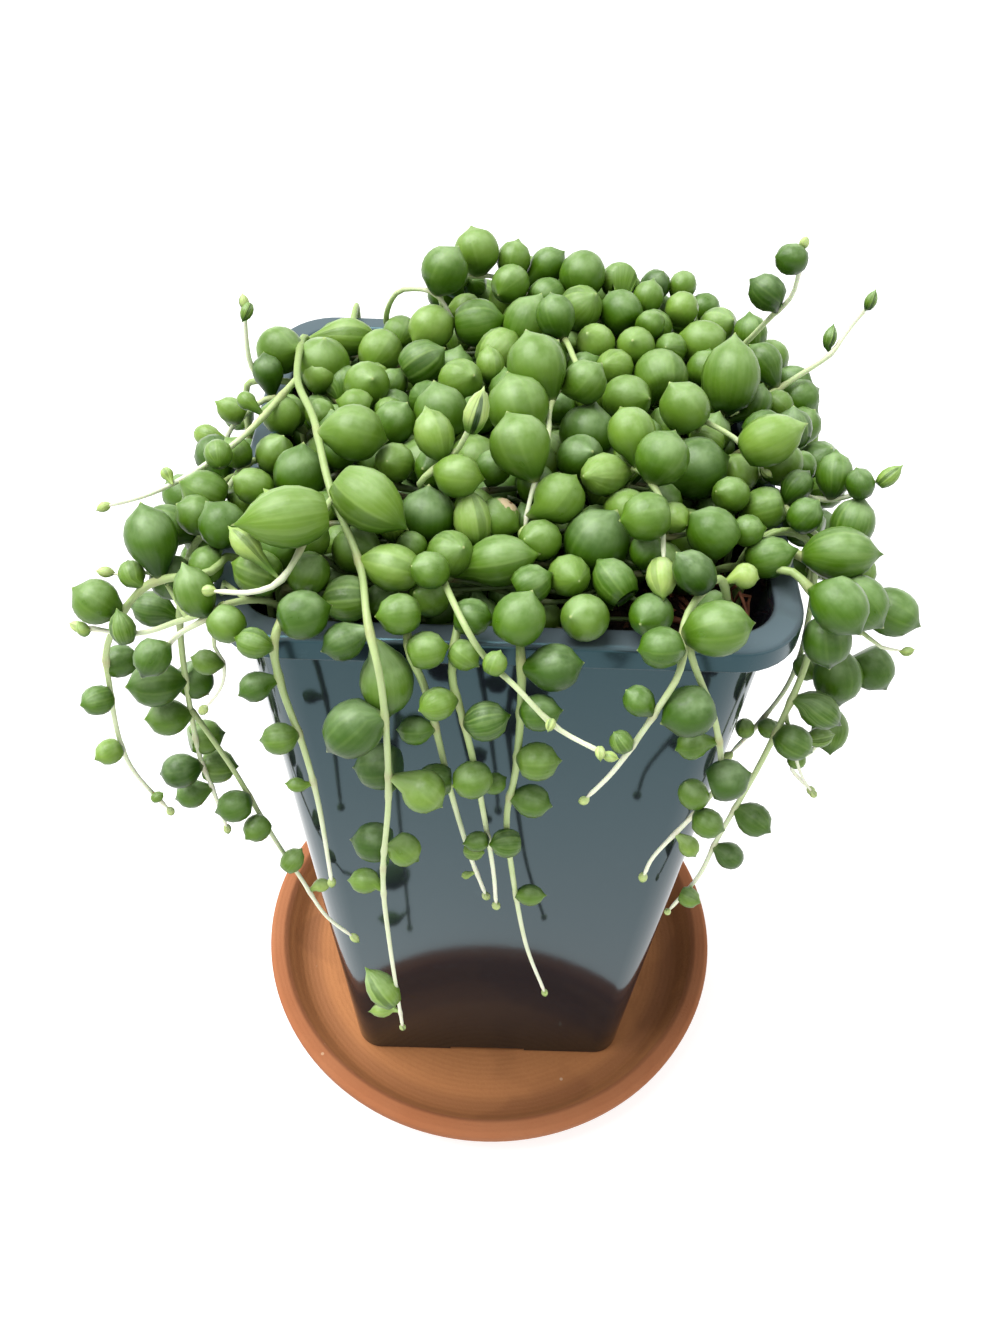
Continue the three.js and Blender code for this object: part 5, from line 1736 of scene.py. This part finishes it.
class TreeBench(Bench):
    """A bench for a tree of Geometry Nodes with named inputs."""

    KINDS = {int: "NodeSocketInt", float: "NodeSocketFloat", type(None): "NodeSocketMaterial"}

    def __init__(self, name: str, inputs: Mapping[str, object]) -> None:
        """Starts the tree.

        Args:
            name: the tree's name.
            inputs: the usual value of each input by its name, or None for a material.
        """
        tree = bpy.data.node_groups.new(name, "GeometryNodeTree")
        tree.interface.new_socket("Geometry", in_out="INPUT", socket_type="NodeSocketGeometry")
        tree.interface.new_socket("Geometry", in_out="OUTPUT", socket_type="NodeSocketGeometry")
        for label, usual in inputs.items():
            socket = tree.interface.new_socket(label, in_out="INPUT", socket_type=self.KINDS[type(usual)])
            if usual is not None:
                socket.default_value = usual
        super().__init__(tree)
        self.source = self.node("NodeGroupInput")

    def given(self, label: str) -> Socket:
        """The socket of one of the tree's inputs."""
        return self.source.outputs[label]

    def held(self, name: str, kind: str = "FLOAT_VECTOR") -> Socket:
        """A value that the points hold."""
        node = self.node("GeometryNodeInputNamedAttribute", {"data_type": kind}, {"Name": name})
        return node.outputs["Attribute"]

    def number(self, name: str) -> Term:
        """A number that the points hold."""
        return Term(self, self.held(name, "FLOAT"))

    def chance(self, sockets: Mapping[object, object], kind: str = "FLOAT_VECTOR",
               output: str = "Value") -> Socket:
        """A value drawn for each point, from a fixed seed."""
        node = self.node("FunctionNodeRandomValue", {"data_type": kind}, sockets)
        return self.find(node.outputs, output)

    def store(self, geometry: Socket, name: str, value: object, kind: str) -> Socket:
        """Stores a value at each point."""
        node = self.node("GeometryNodeStoreNamedAttribute", {"data_type": kind, "domain": "POINT"},
                         {"Geometry": geometry, "Name": name, "Value": value})
        return node.outputs["Geometry"]

    def join(self, *parts: Socket) -> Socket:
        """Joins geometries.

        Args:
            parts: the geometries.

        Returns:
            The whole.
        """
        node = self.node("GeometryNodeJoinGeometry")
        for part in parts:
            self.tree.links.new(part, node.inputs[0])
        return node.outputs["Geometry"]

    def paint(self, geometry: Socket, material: object, only: object = True) -> Socket:
        """Gives faces a material."""
        node = self.node("GeometryNodeSetMaterial", {}, {
            "Geometry": geometry, "Selection": only, "Material": material})
        return node.outputs["Geometry"]

    def realize(self, geometry: Socket) -> Socket:
        """Turns instances into plain mesh."""
        return self.node("GeometryNodeRealizeInstances", {}, {"Geometry": geometry}).outputs["Geometry"]

    def close(self, geometry: Socket) -> Tree:
        """Ends the tree."""
        self.node("NodeGroupOutput", {}, {"Geometry": geometry})
        return self.tree


def use_tree(piece: Piece, tree: Tree, values: Mapping[str, object]) -> None:
    """Runs a tree of Geometry Nodes on a piece and keeps the result as its mesh.

    Args:
        piece: the piece that the tree starts from.
        tree: the tree.
        values: the values of the tree's inputs, by their names.
    """
    modifier = piece.modifiers.new(tree.name, "NODES")
    modifier.node_group = tree
    sockets = {item.name: item.identifier for item in tree.interface.items_tree
               if item.item_type == "SOCKET" and item.in_out == "INPUT"}
    for label, value in values.items():
        modifier[sockets[label]] = value
    apply_modifiers(piece)


def stem_tree() -> Tree:
    """Builds the tree that turns the edges and loose points of a strand into stems and pearls.

    Returns:
        The tree.
    """
    bench = TreeBench("strand_growth", {
        "Plain Segments": 12, "Fine Segments": 18, "Stem Sides": 8,
        "Stem Material": None, "Pearl Material": None})
    parted = bench.node("GeometryNodeSeparateGeometry", {"domain": "POINT"}, {
        "Geometry": bench.given("Geometry"), "Selection": bench.held("is_pearl", "BOOLEAN")})
    place = bench.node("GeometryNodeInputPosition").outputs["Position"]
    fine = bench.held("fine", "BOOLEAN")
    plain = bench.node("FunctionNodeBooleanMath", {"operation": "NOT"}, {0: fine}).outputs["Boolean"]
    sorts = []
    for sort, chosen in (("Plain", plain), ("Fine", fine)):
        segments = bench.given(sort + " Segments")
        ball = bench.node("GeometryNodeMeshUVSphere", {}, {
            "Segments": segments, "Rings": bench.math("MULTIPLY", segments, RING_SHARE),
            "Radius": 1.0}).outputs["Mesh"]
        sorts.append(bench.node("GeometryNodeInstanceOnPoints", {}, {
            "Points": parted.outputs["Selection"], "Selection": chosen,
            "Instance": bench.store(ball, "berry", place, "FLOAT_VECTOR")}).outputs["Instances"])
    pearls = bench.realize(bench.join(*sorts))
    pearls = bench.node("GeometryNodeSetPosition", {}, {
        "Geometry": pearls, "Position": shape_pearl(bench)}).outputs["Geometry"]
    # How high each point lies on its pearl, against its belly: the pearl material paints shade where it is low
    # and a highlight where it is high
    rise = (bench.split(place)[2] - bench.split(bench.held("centre"))[2]) / bench.number("belly")
    pearls = bench.store(pearls, "lit", rise, "FLOAT")
    lines = bench.node("GeometryNodeMeshToCurve", {}, {"Mesh": parted.outputs["Inverted"]}).outputs["Curve"]
    ring = bench.node("GeometryNodeCurvePrimitiveCircle", {"mode": "RADIUS"}, {
        "Resolution": bench.given("Stem Sides"), "Radius": MM}).outputs["Curve"]
    stems = bench.node("GeometryNodeCurveToMesh", {}, {
        "Curve": lines, "Profile Curve": ring, "Scale": bench.number("thick"),
        "Fill Caps": True}).outputs["Mesh"]
    whole = bench.join(stems, pearls)
    whole = bench.node("GeometryNodeSetShadeSmooth", {}, {"Geometry": whole}).outputs["Geometry"]
    whole = bench.realize(whole)
    whole = bench.paint(whole, bench.given("Stem Material"))
    whole = bench.paint(whole, bench.given("Pearl Material"), bench.held("is_pearl", "BOOLEAN"))
    return bench.close(whole)


def shape_pearl(bench: TreeBench) -> Socket:
    """Draws a unit ball out into a pearl: a round belly, a thin stalk behind and a small point in front.

    Args:
        bench: the bench of the tree.

    Returns:
        The place of each point.
    """
    x, y, z = bench.split(bench.held("berry"))
    belly, half, reach = bench.number("belly"), bench.number("half"), bench.number("reach")
    neck = bench.math("MULTIPLY_ADD", z, -1.0 / NECK_SHARE, -(1.0 - NECK_SHARE) / NECK_SHARE)
    neck = bench.math("MINIMUM", bench.math("MAXIMUM", neck, 0.0), 1.0)
    point = bench.math("MULTIPLY_ADD", z, 1.0 / TIP_SHARE, -(1.0 - TIP_SHARE) / TIP_SHARE)
    point = bench.math("MAXIMUM", point, 0.0)
    slim = (1.0 - 0.6 * neck ** 0.85) * (1.0 - 0.6 * point) * (1.0 - bench.number("taper") * z * z * 0.4)
    body = half * (z + POINT_DRAW * point ** 4.0)
    across = belly * slim
    spot = bench.held("centre")
    for direction, amount in (("side", x * across), ("other", y * across),
                              ("axis", body * (1.0 - neck)), ("stalk", reach * neck)):
        step = bench.vector("SCALE", {0: bench.held(direction), "Scale": amount})
        spot = bench.vector("ADD", {0: spot, 1: step})
    return spot


@dataclass
class Strand:
    """One strand of the plant, or a tangle of roots: its stems and its pearls as one mesh."""

    name: str
    grown: Grown
    shade: random.Random
    slot: str = "foliage"
    node: str = ""
    stem_step: float = 1.8
    stem_sides: int = 8
    segments: tuple[int, int] = (12, 18)
    tilt: float = 1.5
    swell: float = 1.06
    root_depth: float = 3.0

    def build(self, tree: Tree, stem: Material, pearl: Material) -> None:
        """Builds the strand.

        Args:
            tree: the tree that gives edges and points their shape.
            stem: the material of the stems.
            pearl: the material of the pearls.
        """
        points, edges, rows = self._stems()
        rows += [self._pearl_row(p) for p in self.grown.pearls]
        points += [p.centre for p in self.grown.pearls]
        piece = make_object(self.name, points, [], edges)
        self._store(piece.data, rows)
        use_tree(piece, tree, {
            "Plain Segments": self.segments[0], "Fine Segments": self.segments[1],
            "Stem Sides": self.stem_sides, "Stem Material": stem, "Pearl Material": pearl})
        hand_over(piece, self.node)

    def _stems(self) -> tuple[list[Vector], list[tuple[int, int]], list[dict[str, object]]]:
        """Lays out the middle lines of the stems.

        Returns:
            Their points, their edges, and what each point holds.
        """
        points: list[Vector] = []
        edges: list[tuple[int, int]] = []
        rows: list[dict[str, object]] = []
        feet = [p.foot for p in self.grown.pearls]
        laid: list[Route] = []
        for stem in self.grown.stems:
            count = max(4, round(stem.route.length / self.stem_step))
            line = [stem.route.at(stem.route.length * k / count) for k in range(count + 1)]
            start = line[0]
            if abs(start.z - ROOT_HEIGHT) < 4 and max(abs(start.x), abs(start.y)) < RIM_INNER_HALF:
                line.insert(0, start - Vector((0.0, 0.0, self.root_depth)))
            elif laid:
                line[0] = nearest_spot(laid, start)
            laid.append(stem.route)
            for k, spot in enumerate(line):
                share = k / (len(line) - 1)
                swell = max((math.exp(-((foot - spot).length / KNOT_WIDTH) ** 2) for foot in feet),
                            default=0.0)
                thick = stem.radius(share) * STEM_TRIM * (1 + KNOT_SWELL * swell)
                if k:
                    edges.append((len(points) - 1, len(points)))
                points.append(spot)
                rows.append({
                    "thick": thick * (1 - 0.6 * (share > 0.995)),
                    "age": min(1.0, stem.youth + stem.ripening * share ** 1.5),
                    "knot": swell * self.shade.random()})
        return points, edges, rows

    def _pearl_row(self, p: Pearl) -> dict[str, object]:
        """Works out what the point of one pearl holds.

        Args:
            p: the pearl.

        Returns:
            The values by their names.
        """
        stalk = (p.foot - p.centre).normalized()
        between = self.shade.uniform
        lean = Vector((between(-1, 1), between(-1, 1), between(-0.6, 0.6)))
        axis = (lean.normalized() * self.tilt * p.lean + p.axis).normalized()
        away = Vector((between(-1, 1), between(-1.2, 0.6), between(0.1, 1.2)))
        if p.scar:
            away = RIGHT + UPWARD * 0.7 + TOWARDS * 0.5
        side = (away - axis * away.dot(axis)).normalized()
        across = max(abs(p.centre.x), abs(p.centre.y))
        belly = p.width / 2 * (self.swell if across < RIM_INNER_HALF else 1.0)
        small = 1 - near_share(p.width, 2.5, 5.5)
        lower = near_share(p.centre.z, 166.0, 156.0) if across < RIM_INNER_HALF else 1.0
        slim = max(0.0, p.stretch - 1.28)
        far = near_share(p.centre.y, 12.0, 34.0) * (1 - lower)
        tone = 0.20 + 0.42 * self.shade.random() + 0.35 * small + 0.7 * slim
        tone += p.youth - 0.12 * lower + 0.1 * far
        streak = min(1.0, 0.10 + 0.75 * self.shade.random() ** 2 + 1.2 * max(0.0, p.stretch - 1.12))
        if p.tone is not None:
            tone, streak = p.tone, 0.35 + max(0.0, p.stretch - 1.12)
        return {
            "is_pearl": True, "fine": p.fine, "centre": p.centre * MM, "axis": axis, "side": side,
            "other": axis.cross(side), "stalk": stalk,
            "belly": belly * MM, "half": belly * p.stretch * MM,
            "reach": ((p.centre - p.foot).length + STALK_SINK) * MM, "tone": min(tone, 0.98),
            "streak": streak, "taper": near_share(p.stretch, 1.15, 1.6),
            "scar": float(p.scar), "seed": self.shade.random()}

    @staticmethod
    def _store(mesh: bpy.types.Mesh, rows: Sequence[Mapping[str, object]]) -> None:
        """Stores what the points hold as attributes.

        Args:
            mesh: the mesh of the points.
            rows: the values of each point, by their names.
        """
        kinds = (("BOOLEAN", False, "is_pearl fine"),
                 ("FLOAT_VECTOR", (0.0, 0.0, 0.0), "centre axis side other stalk"),
                 ("FLOAT", 0.0, "thick age knot belly half reach tone streak taper scar seed"))
        for kind, usual, names in kinds:
            for name in names.split():
                layer = mesh.attributes.new(name, kind, "POINT")
                values = [row.get(name, usual) for row in rows]
                if kind == "FLOAT_VECTOR":
                    layer.data.foreach_set("vector", [c for value in values for c in value])
                else:
                    layer.data.foreach_set("value", values)


@dataclass
class Plant:
    """All the strands."""

    seed: int = 5
    pearl: PearlFinish = PearlFinish()
    stem: StemFinish = StemFinish()

    def build(self) -> None:
        """Grows and builds every strand."""
        tree = stem_tree()
        stem, pearl = self.stem.material(), self.pearl.material()
        shade = random.Random(self.seed)
        grown = Garden().grow()
        for name, parts in grown.items():
            Strand(name + "_leafy", parts, shade, node=name).build(tree, stem, pearl)
        LOG.info("pearls: %d", sum(len(parts.pearls) for parts in grown.values()))


@dataclass
class Saucer:
    """The round clay saucer."""

    radius: float = SAUCER_RADIUS
    foot_radius: float = SAUCER_FOOT_RADIUS
    height: float = SAUCER_HEIGHT
    floor: float = SAUCER_FLOOR
    wall: float = SAUCER_WALL
    lean: float = 0.4
    sides: int = 144
    wobble: float = 0.12
    flare: float = 3.0
    lip: float = 0.9
    finish: ClayFinish = ClayFinish()

    def build(self) -> None:
        """Turns the saucer and dresses it."""
        inner = self.radius - self.wall
        turn = self.foot_radius + self.flare
        profile = round_off([
            (0.6, 0.0, 0.0), (self.foot_radius, 0.0, 1.5), (turn, 1.5, 1.5),
            (self.radius - self.lean, self.height - self.wall, 2.0),
            (self.radius, self.height - self.lip, 1.6), (self.radius - self.lip, self.height, 1.2),
            (inner + self.lip, self.height, 1.2),
            (inner, self.height - self.lip, 1.6), (turn + 0.4, self.floor + 0.8, 2.2),
            (turn - 3.4, self.floor, 2.0), (0.6, self.floor, 0.0)], 6)
        rings = []
        for r, z in profile:
            ring = []
            for i in range(self.sides):
                angle = 2 * math.pi * i / self.sides
                right, back = math.cos(angle), math.sin(angle)
                lift = self.wobble * noise.noise(Vector((right * 1.7, back * 1.7, r * 0.02)))
                out = r + lift * r / self.radius
                ring.append((right * out, back * out, z))
            rings.append(ring)
        piece = make_object("clay_saucer", *loft(rings))
        smooth(piece, 50.0)
        piece.data.materials.append(self.finish.material())
        hand_over(piece, "saucer")


@dataclass
class Pot:
    """The square plastic pot."""

    rim_half: float = RIM_HALF
    rim_top: float = RIM_TOP
    rim_drop: float = RIM_DROP
    inner_half: float = RIM_INNER_HALF
    corner_steps: int = 10
    notch: tuple[float, float] = (18.0, 1.3)
    drain_radius: float = 3.0
    drain_spacing: float = 17.0
    finish: PlasticFinish = PlasticFinish()

    def build(self) -> None:
        """Moulds the pot, cuts its holes and dresses it."""
        rings = [self._ring(*corner) for corner in self._section()]
        piece = make_object("square_pot", *loft(rings))
        self._cut(piece)
        smooth(piece, 40.0)
        even = piece.modifiers.new("even_shading", "WEIGHTED_NORMAL")
        even.keep_sharp = True
        apply_modifiers(piece)
        piece.data.materials.clear()
        piece.data.materials.append(self.finish.material())
        hand_over(piece, "pot")

    def _section(self) -> list[tuple[float, float, float]]:
        """Works out the section of the wall, the rim and the floor.

        Returns:
            The half width, the corner radius and the height of each ring.
        """
        low = self.rim_top - self.rim_drop
        under = self.rim_top - POT_WALL
        bevel = self.rim_top - 1.5
        foot = SAUCER_FLOOR
        half_foot, half_top = body_half(foot), body_half(under)
        within = self.rim_half - POT_WALL
        floor_half = body_half(POT_FLOOR) - POT_WALL
        corners = [
            (half_foot - POT_WALL, foot + FOOT_HEIGHT, 0.0), (half_foot - POT_WALL, foot, 0.0),
            (half_foot, foot, 0.5), (half_top, under, 0.0), (within, under, 0.0), (within, low, 0.0),
            (self.rim_half, low, 0.35), (self.rim_half, self.rim_top, 0.9),
            (self.inner_half + 0.1, self.rim_top, 0.7), (body_half(bevel) - POT_WALL, bevel, 0.5),
            (floor_half, POT_FLOOR, 1.0), (floor_half - 3, POT_FLOOR, 0.0)]
        section = []
        for half, z in round_off(corners, 4):
            edge = RIM_CORNER - (self.rim_half - half)
            body = body_corner(z) - (body_half(z) - half)
            in_rim = z > low - 0.01 and half > half_top + 0.3
            in_mouth = z > low and half < half_top - 0.5
            corner = edge if in_rim else min(max(body, 1.0), MOUTH_CORNER if in_mouth else body)
            section.append((half, corner, z))
        return section

    def _ring(self, half: float, corner: float, z: float) -> list[Point]:
        """Makes a square ring with round corners.

        Args:
            half: half its width.
            corner: the radius of its corners.
            z: its height.

        Returns:
            Its points.
        """
        ring = []
        inset = half - corner
        for quarter in range(4):
            middle = (quarter + 0.5) * math.pi / 2
            for step in range(self.corner_steps + 1):
                angle = (quarter + step / self.corner_steps) * math.pi / 2
                ring.append((math.copysign(inset, math.cos(middle)) + math.cos(angle) * corner,
                             math.copysign(inset, math.sin(middle)) + math.sin(angle) * corner, z))
        return ring

    def _cut(self, piece: Piece) -> None:
        """Cuts the drain holes and the notches in the foot.

        Args:
            piece: the pot.
        """
        width, height = self.notch
        near, far = FOOT_HALF - 4, FOOT_HALF + 4
        box = [(-width / 2, near), (width / 2, near), (width / 2, far), (-width / 2, far)]
        circle = [Vector((math.cos(i * math.pi / 12), math.sin(i * math.pi / 12))) * self.drain_radius
                  for i in range(24)]
        prisms = [([spot + Vector(place) * self.drain_spacing for spot in circle], -1.0, POT_FLOOR + 2)
                  for place in ((0, 0), (1, 1), (1, -1), (-1, 1), (-1, -1))]
        prisms += [([Matrix.Rotation(side * math.pi / 2, 2) @ Vector(spot) for spot in box],
                    SAUCER_FLOOR - 2, SAUCER_FLOOR + height) for side in range(4)]
        points: list[Point] = []
        faces: list[list[int]] = []
        for outline, low, high in prisms:
            more, sides = loft([[(*p, z) for p in outline] for z in (low, high)])
            faces += [[index + len(points) for index in face] for face in sides]
            points += more
        cutter = make_object("cutter", points, faces)
        modifier = piece.modifiers.new("cut", "BOOLEAN")
        modifier.operation = "DIFFERENCE"
        modifier.solver = "EXACT"
        modifier.object = cutter
        apply_modifiers(piece)
        bpy.data.objects.remove(cutter)


@dataclass
class Soil:
    """The potting mix, with crumbs and the roots in its open corner."""

    edge: float = SOIL_EDGE
    cells: int = 64
    lump: float = 1.3
    bumps: tuple[tuple[float, float], ...] = ((0.16, 1.0), (0.45, 0.6), (1.1, 0.35))
    crumb_seed: int = 11
    density: float = 240000.0
    crumb: tuple[float, float] = (0.45, 1.5)
    roots: int = 22
    corner: tuple[float, float] = (31.0, -30.0)
    spread: tuple[float, float] = (5.0, 6.0)
    arch: tuple[float, float] = (0.2, 2.4)
    root_step: tuple[float, float] = (2.0, 5.0)
    root_turn: float = 0.9
    root_wall_gap: float = 4.5
    root_radius: float = 0.42
    hanging: tuple[tuple[Point, ...], ...] = (
        ((36.0, -27.1, 157.0), (37.3, -29.2, 155.0), (38.0, -30.6, 153.3), (38.2, -32.9, 151.0),
         (37.5, -34.0, 146.5)),
        ((38.6, -27.4, 156.5), (38.2, -28.1, 154.5), (38.4, -29.1, 152.5), (38.1, -30.5, 150.5),
         (37.5, -31.0, 146.5)),
        ((35.5, -24.4, 155.0), (36.0, -25.5, 153.0), (36.6, -26.9, 151.0), (36.6, -27.5, 146.5)),
        ((36.9, -27.6, 154.0), (38.0, -28.4, 153.0), (38.8, -27.6, 152.0), (39.0, -27.2, 151.5)))
    finish: SoilFinish = SoilFinish()
    root_finish: RootFinish = RootFinish()

    def height(self, x: float, y: float) -> float:
        """Works out the soil's height over a place.

        Args:
            x: how far right the place is.
            y: how far back it is.

        Returns:
            The height.
        """
        wall = body_half(self.edge) - POT_WALL - SOIL_GAP
        share = max(abs(x), abs(y)) / wall
        shoulder, shoulder_rise = SOIL_SHOULDER
        crest, crest_rise = SOIL_CREST
        stops = ((1.0, 0.0), (shoulder, shoulder_rise), (crest, crest_rise), (0.0, crest_rise))
        for (outer, low), (inner, high) in zip(stops, stops[1:]):
            if share >= inner:
                rise = low + (high - low) * (outer - share) / (outer - inner)
                break
        spot = Vector((x, y, 0.0))
        bumps = sum(share_of * noise.noise(spot * per_mm) for per_mm, share_of in self.bumps)
        return self.edge + rise * 0.9 - 0.6 + bumps * self.lump * min(1.0, (1.0 - share) * 6 + 0.25)

    def build(self) -> None:
        """Fills the pot and scatters the crumbs and roots."""
        piece = make_object("potting_mix", *self._body())
        material = self.finish.material()
        use_tree(piece, self._crumb_tree(), {
            "Density": self.density, "Least": self.crumb[0] * MM, "Most": self.crumb[1] * MM,
            "Seed": self.crumb_seed, "Material": material})
        hand_over(piece, "soil")
        self._lay_roots()

    def _body(self) -> tuple[list[Point], list[list[int]]]:
        """Makes the closed body of the soil, with a fine top.

        Returns:
            The points and the faces.
        """
        inset = POT_WALL + SOIL_GAP
        n = self.cells
        m = n + 1
        top_half = body_half(self.edge) - inset
        corner = body_corner(self.edge) - inset
        flat = top_half - corner
        points: list[Point] = []
        for j in range(m):
            for i in range(m):
                x, y = top_half * (2 * i / n - 1), top_half * (2 * j / n - 1)
                over = Vector((max(abs(x) - flat, 0.0), max(abs(y) - flat, 0.0)))
                if over.length > corner:
                    over *= corner / over.length
                    x, y = math.copysign(flat + over.x, x), math.copysign(flat + over.y, y)
                points.append((x, y, self.height(x, y)))
        faces = [[j * m + i, j * m + i + 1, (j + 1) * m + i + 1, (j + 1) * m + i]
                 for j in range(n) for i in range(n)]
        border = [*range(n), *range(n, n * m + n, m), *range(n * m + n, n * m, -1), *range(n * m, 0, -m)]
        shrink = (body_half(POT_FLOOR) - inset) / top_half
        start = len(points)
        for index in border:
            x, y, _ = points[index]
            points.append((x * shrink, y * shrink, POT_FLOOR))
        count = len(border)
        for k in range(count):
            faces.append([border[k], start + k, start + (k + 1) % count, border[(k + 1) % count]])
        faces.append([start + k for k in range(count)][::-1])
        return points, faces

    @staticmethod
    def _crumb_tree() -> Tree:
        """Builds the tree that scatters crumbs over the top of the soil.

        Returns:
            The tree.
        """
        bench = TreeBench("crumb_scatter", {
            "Density": 100000.0, "Least": MM, "Most": MM, "Seed": 1, "Material": None})
        body = bench.given("Geometry")
        normal = bench.split(bench.node("GeometryNodeInputNormal").outputs["Normal"])[2]
        spots = bench.node("GeometryNodeDistributePointsOnFaces", {"distribute_method": "RANDOM"}, {
            "Mesh": body, "Selection": bench.math("GREATER_THAN", normal, 0.4),
            "Density": bench.given("Density"), "Seed": bench.given("Seed")})
        grain = bench.node("GeometryNodeMeshIcoSphere", {}, {"Radius": 1.0, "Subdivisions": 1})
        turn = bench.chance({"Max": (6.28, 6.28, 6.28), "Seed": 3})
        size = bench.chance({"Min_001": bench.given("Least"), "Max_001": bench.given("Most"), "Seed": 4},
                            "FLOAT", "Value_001")
        flat = bench.chance({"Min": (0.5, 0.4, 0.3), "Max": (1.3, 1.0, 0.8), "Seed": 5})
        scale = bench.vector("SCALE", {0: flat, "Scale": size})
        crumbs = bench.node("GeometryNodeInstanceOnPoints", {}, {
            "Points": spots.outputs["Points"], "Instance": grain.outputs["Mesh"], "Rotation": turn,
            "Scale": scale})
        whole = bench.realize(bench.join(body, crumbs.outputs["Instances"]))
        return bench.close(bench.paint(whole, bench.given("Material")))

    def _lay_roots(self) -> None:
        """Lays fine roots over the soil in the open corner."""
        shade = random.Random(self.crumb_seed)
        limit = body_half(self.edge) - self.root_wall_gap
        grown = Grown()
        for _ in range(self.roots):
            x = self.corner[0] + shade.gauss(0, self.spread[0])
            y = self.corner[1] + shade.gauss(0, self.spread[1])
            heading = shade.uniform(0, 2 * math.pi)
            lift = shade.uniform(*self.arch)
            line = []
            for k in range(5):
                x, y = min(max(x, -limit), limit), min(max(y, -limit), limit)
                arch = lift * math.sin(math.pi * k / 4)
                line.append((x, y, self.height(x, y) + arch - 0.3))
                heading += shade.uniform(-self.root_turn, self.root_turn)
                x += math.cos(heading) * shade.uniform(*self.root_step)
                y += math.sin(heading) * shade.uniform(*self.root_step)
            grown.stems.append(Stem(Route.through(line), shade.uniform(0.5, 1.3), tip=0.35))
        grown.stems += [Stem(Route.through(line), self.root_radius, tip=FINE_TIP) for line in self.hanging]
        material = self.root_finish.material()
        roots = Strand("fine_roots", grown, shade, slot="soil", stem_step=1.2, stem_sides=6, root_depth=1.0)
        roots.build(stem_tree(), material, material)


@dataclass
class Studio:
    """The pale floor, the soft light and the camera."""

    camera_place: tuple[float, float, float] = CAMERA_PLACE
    pitch: float = math.radians(46.279)
    roll: float = math.radians(2.453)
    yaw: float = math.radians(0.941)
    focal_pixels: float = 1196.1
    long_side: float = 1333.0
    sensor: float = 36.0
    floor_half: float = 3000.0
    room_light: float = 0.75
    window_light: float = 4.4
    window_spread: float = math.radians(50.0)
    window_way: tuple[float, float, float] = (-0.45, 0.12, 1.0)
    finish: FloorFinish = FloorFinish()

    def build(self) -> None:
        """Sets up the studio."""
        self._camera()
        self._lights()
        half = self.floor_half
        corners = [(-half, -half, 0), (half, -half, 0), (half, half, 0), (-half, half, 0)]
        floor = make_object("studio_floor", corners, [[0, 1, 2, 3]])
        floor.data.materials.append(self.finish.material())

    def _camera(self) -> None:
        """Puts the camera where the photograph was taken."""
        ahead = math.cos(self.pitch)
        forward = Vector((math.sin(self.yaw) * ahead, math.cos(self.yaw) * ahead, -math.sin(self.pitch)))
        level = Vector((math.cos(self.yaw), -math.sin(self.yaw), 0.0))
        up = level.cross(forward)
        right = level * math.cos(self.roll) + up * math.sin(self.roll)
        above = up * math.cos(self.roll) - level * math.sin(self.roll)
        data = bpy.data.cameras.new("photo_camera")
        data.sensor_width = self.sensor
        data.lens = self.focal_pixels / self.long_side * self.sensor
        data.clip_start = 0.01
        camera = bpy.data.objects.new("photo_camera", data)
        turn = Matrix((right, above, -forward)).transposed().to_4x4()
        camera.matrix_world = Matrix.Translation(Vector(self.camera_place) * MM) @ turn
        bpy.context.scene.collection.objects.link(camera)
        bpy.context.scene.camera = camera

    def _lights(self) -> None:
        """Hangs the soft lights and brightens the room."""
        scene = bpy.context.scene
        world = bpy.data.worlds.new("soft_room")
        world.use_nodes = True
        background = world.node_tree.nodes["Background"]
        background.inputs["Color"].default_value = (1.0, 1.0, 1.0, 1.0)
        background.inputs["Strength"].default_value = self.room_light
        scene.world = world
        scene.view_settings.view_transform = "Standard"
        data = bpy.data.lights.new("soft_window", "SUN")
        data.energy = self.window_light
        data.angle = self.window_spread
        light = bpy.data.objects.new("soft_window", data)
        light.rotation_euler = (-Vector(self.window_way)).to_track_quat("-Z", "Y").to_euler()
        scene.collection.objects.link(light)


def main() -> None:
    """Builds the dressed object and its studio."""
    logging.basicConfig(level=logging.INFO, format="%(name)s: %(message)s")
    Saucer().build()
    Pot().build()
    Soil().build()
    Plant().build()
    Studio().build()


if __name__ == "__main__":
    main()
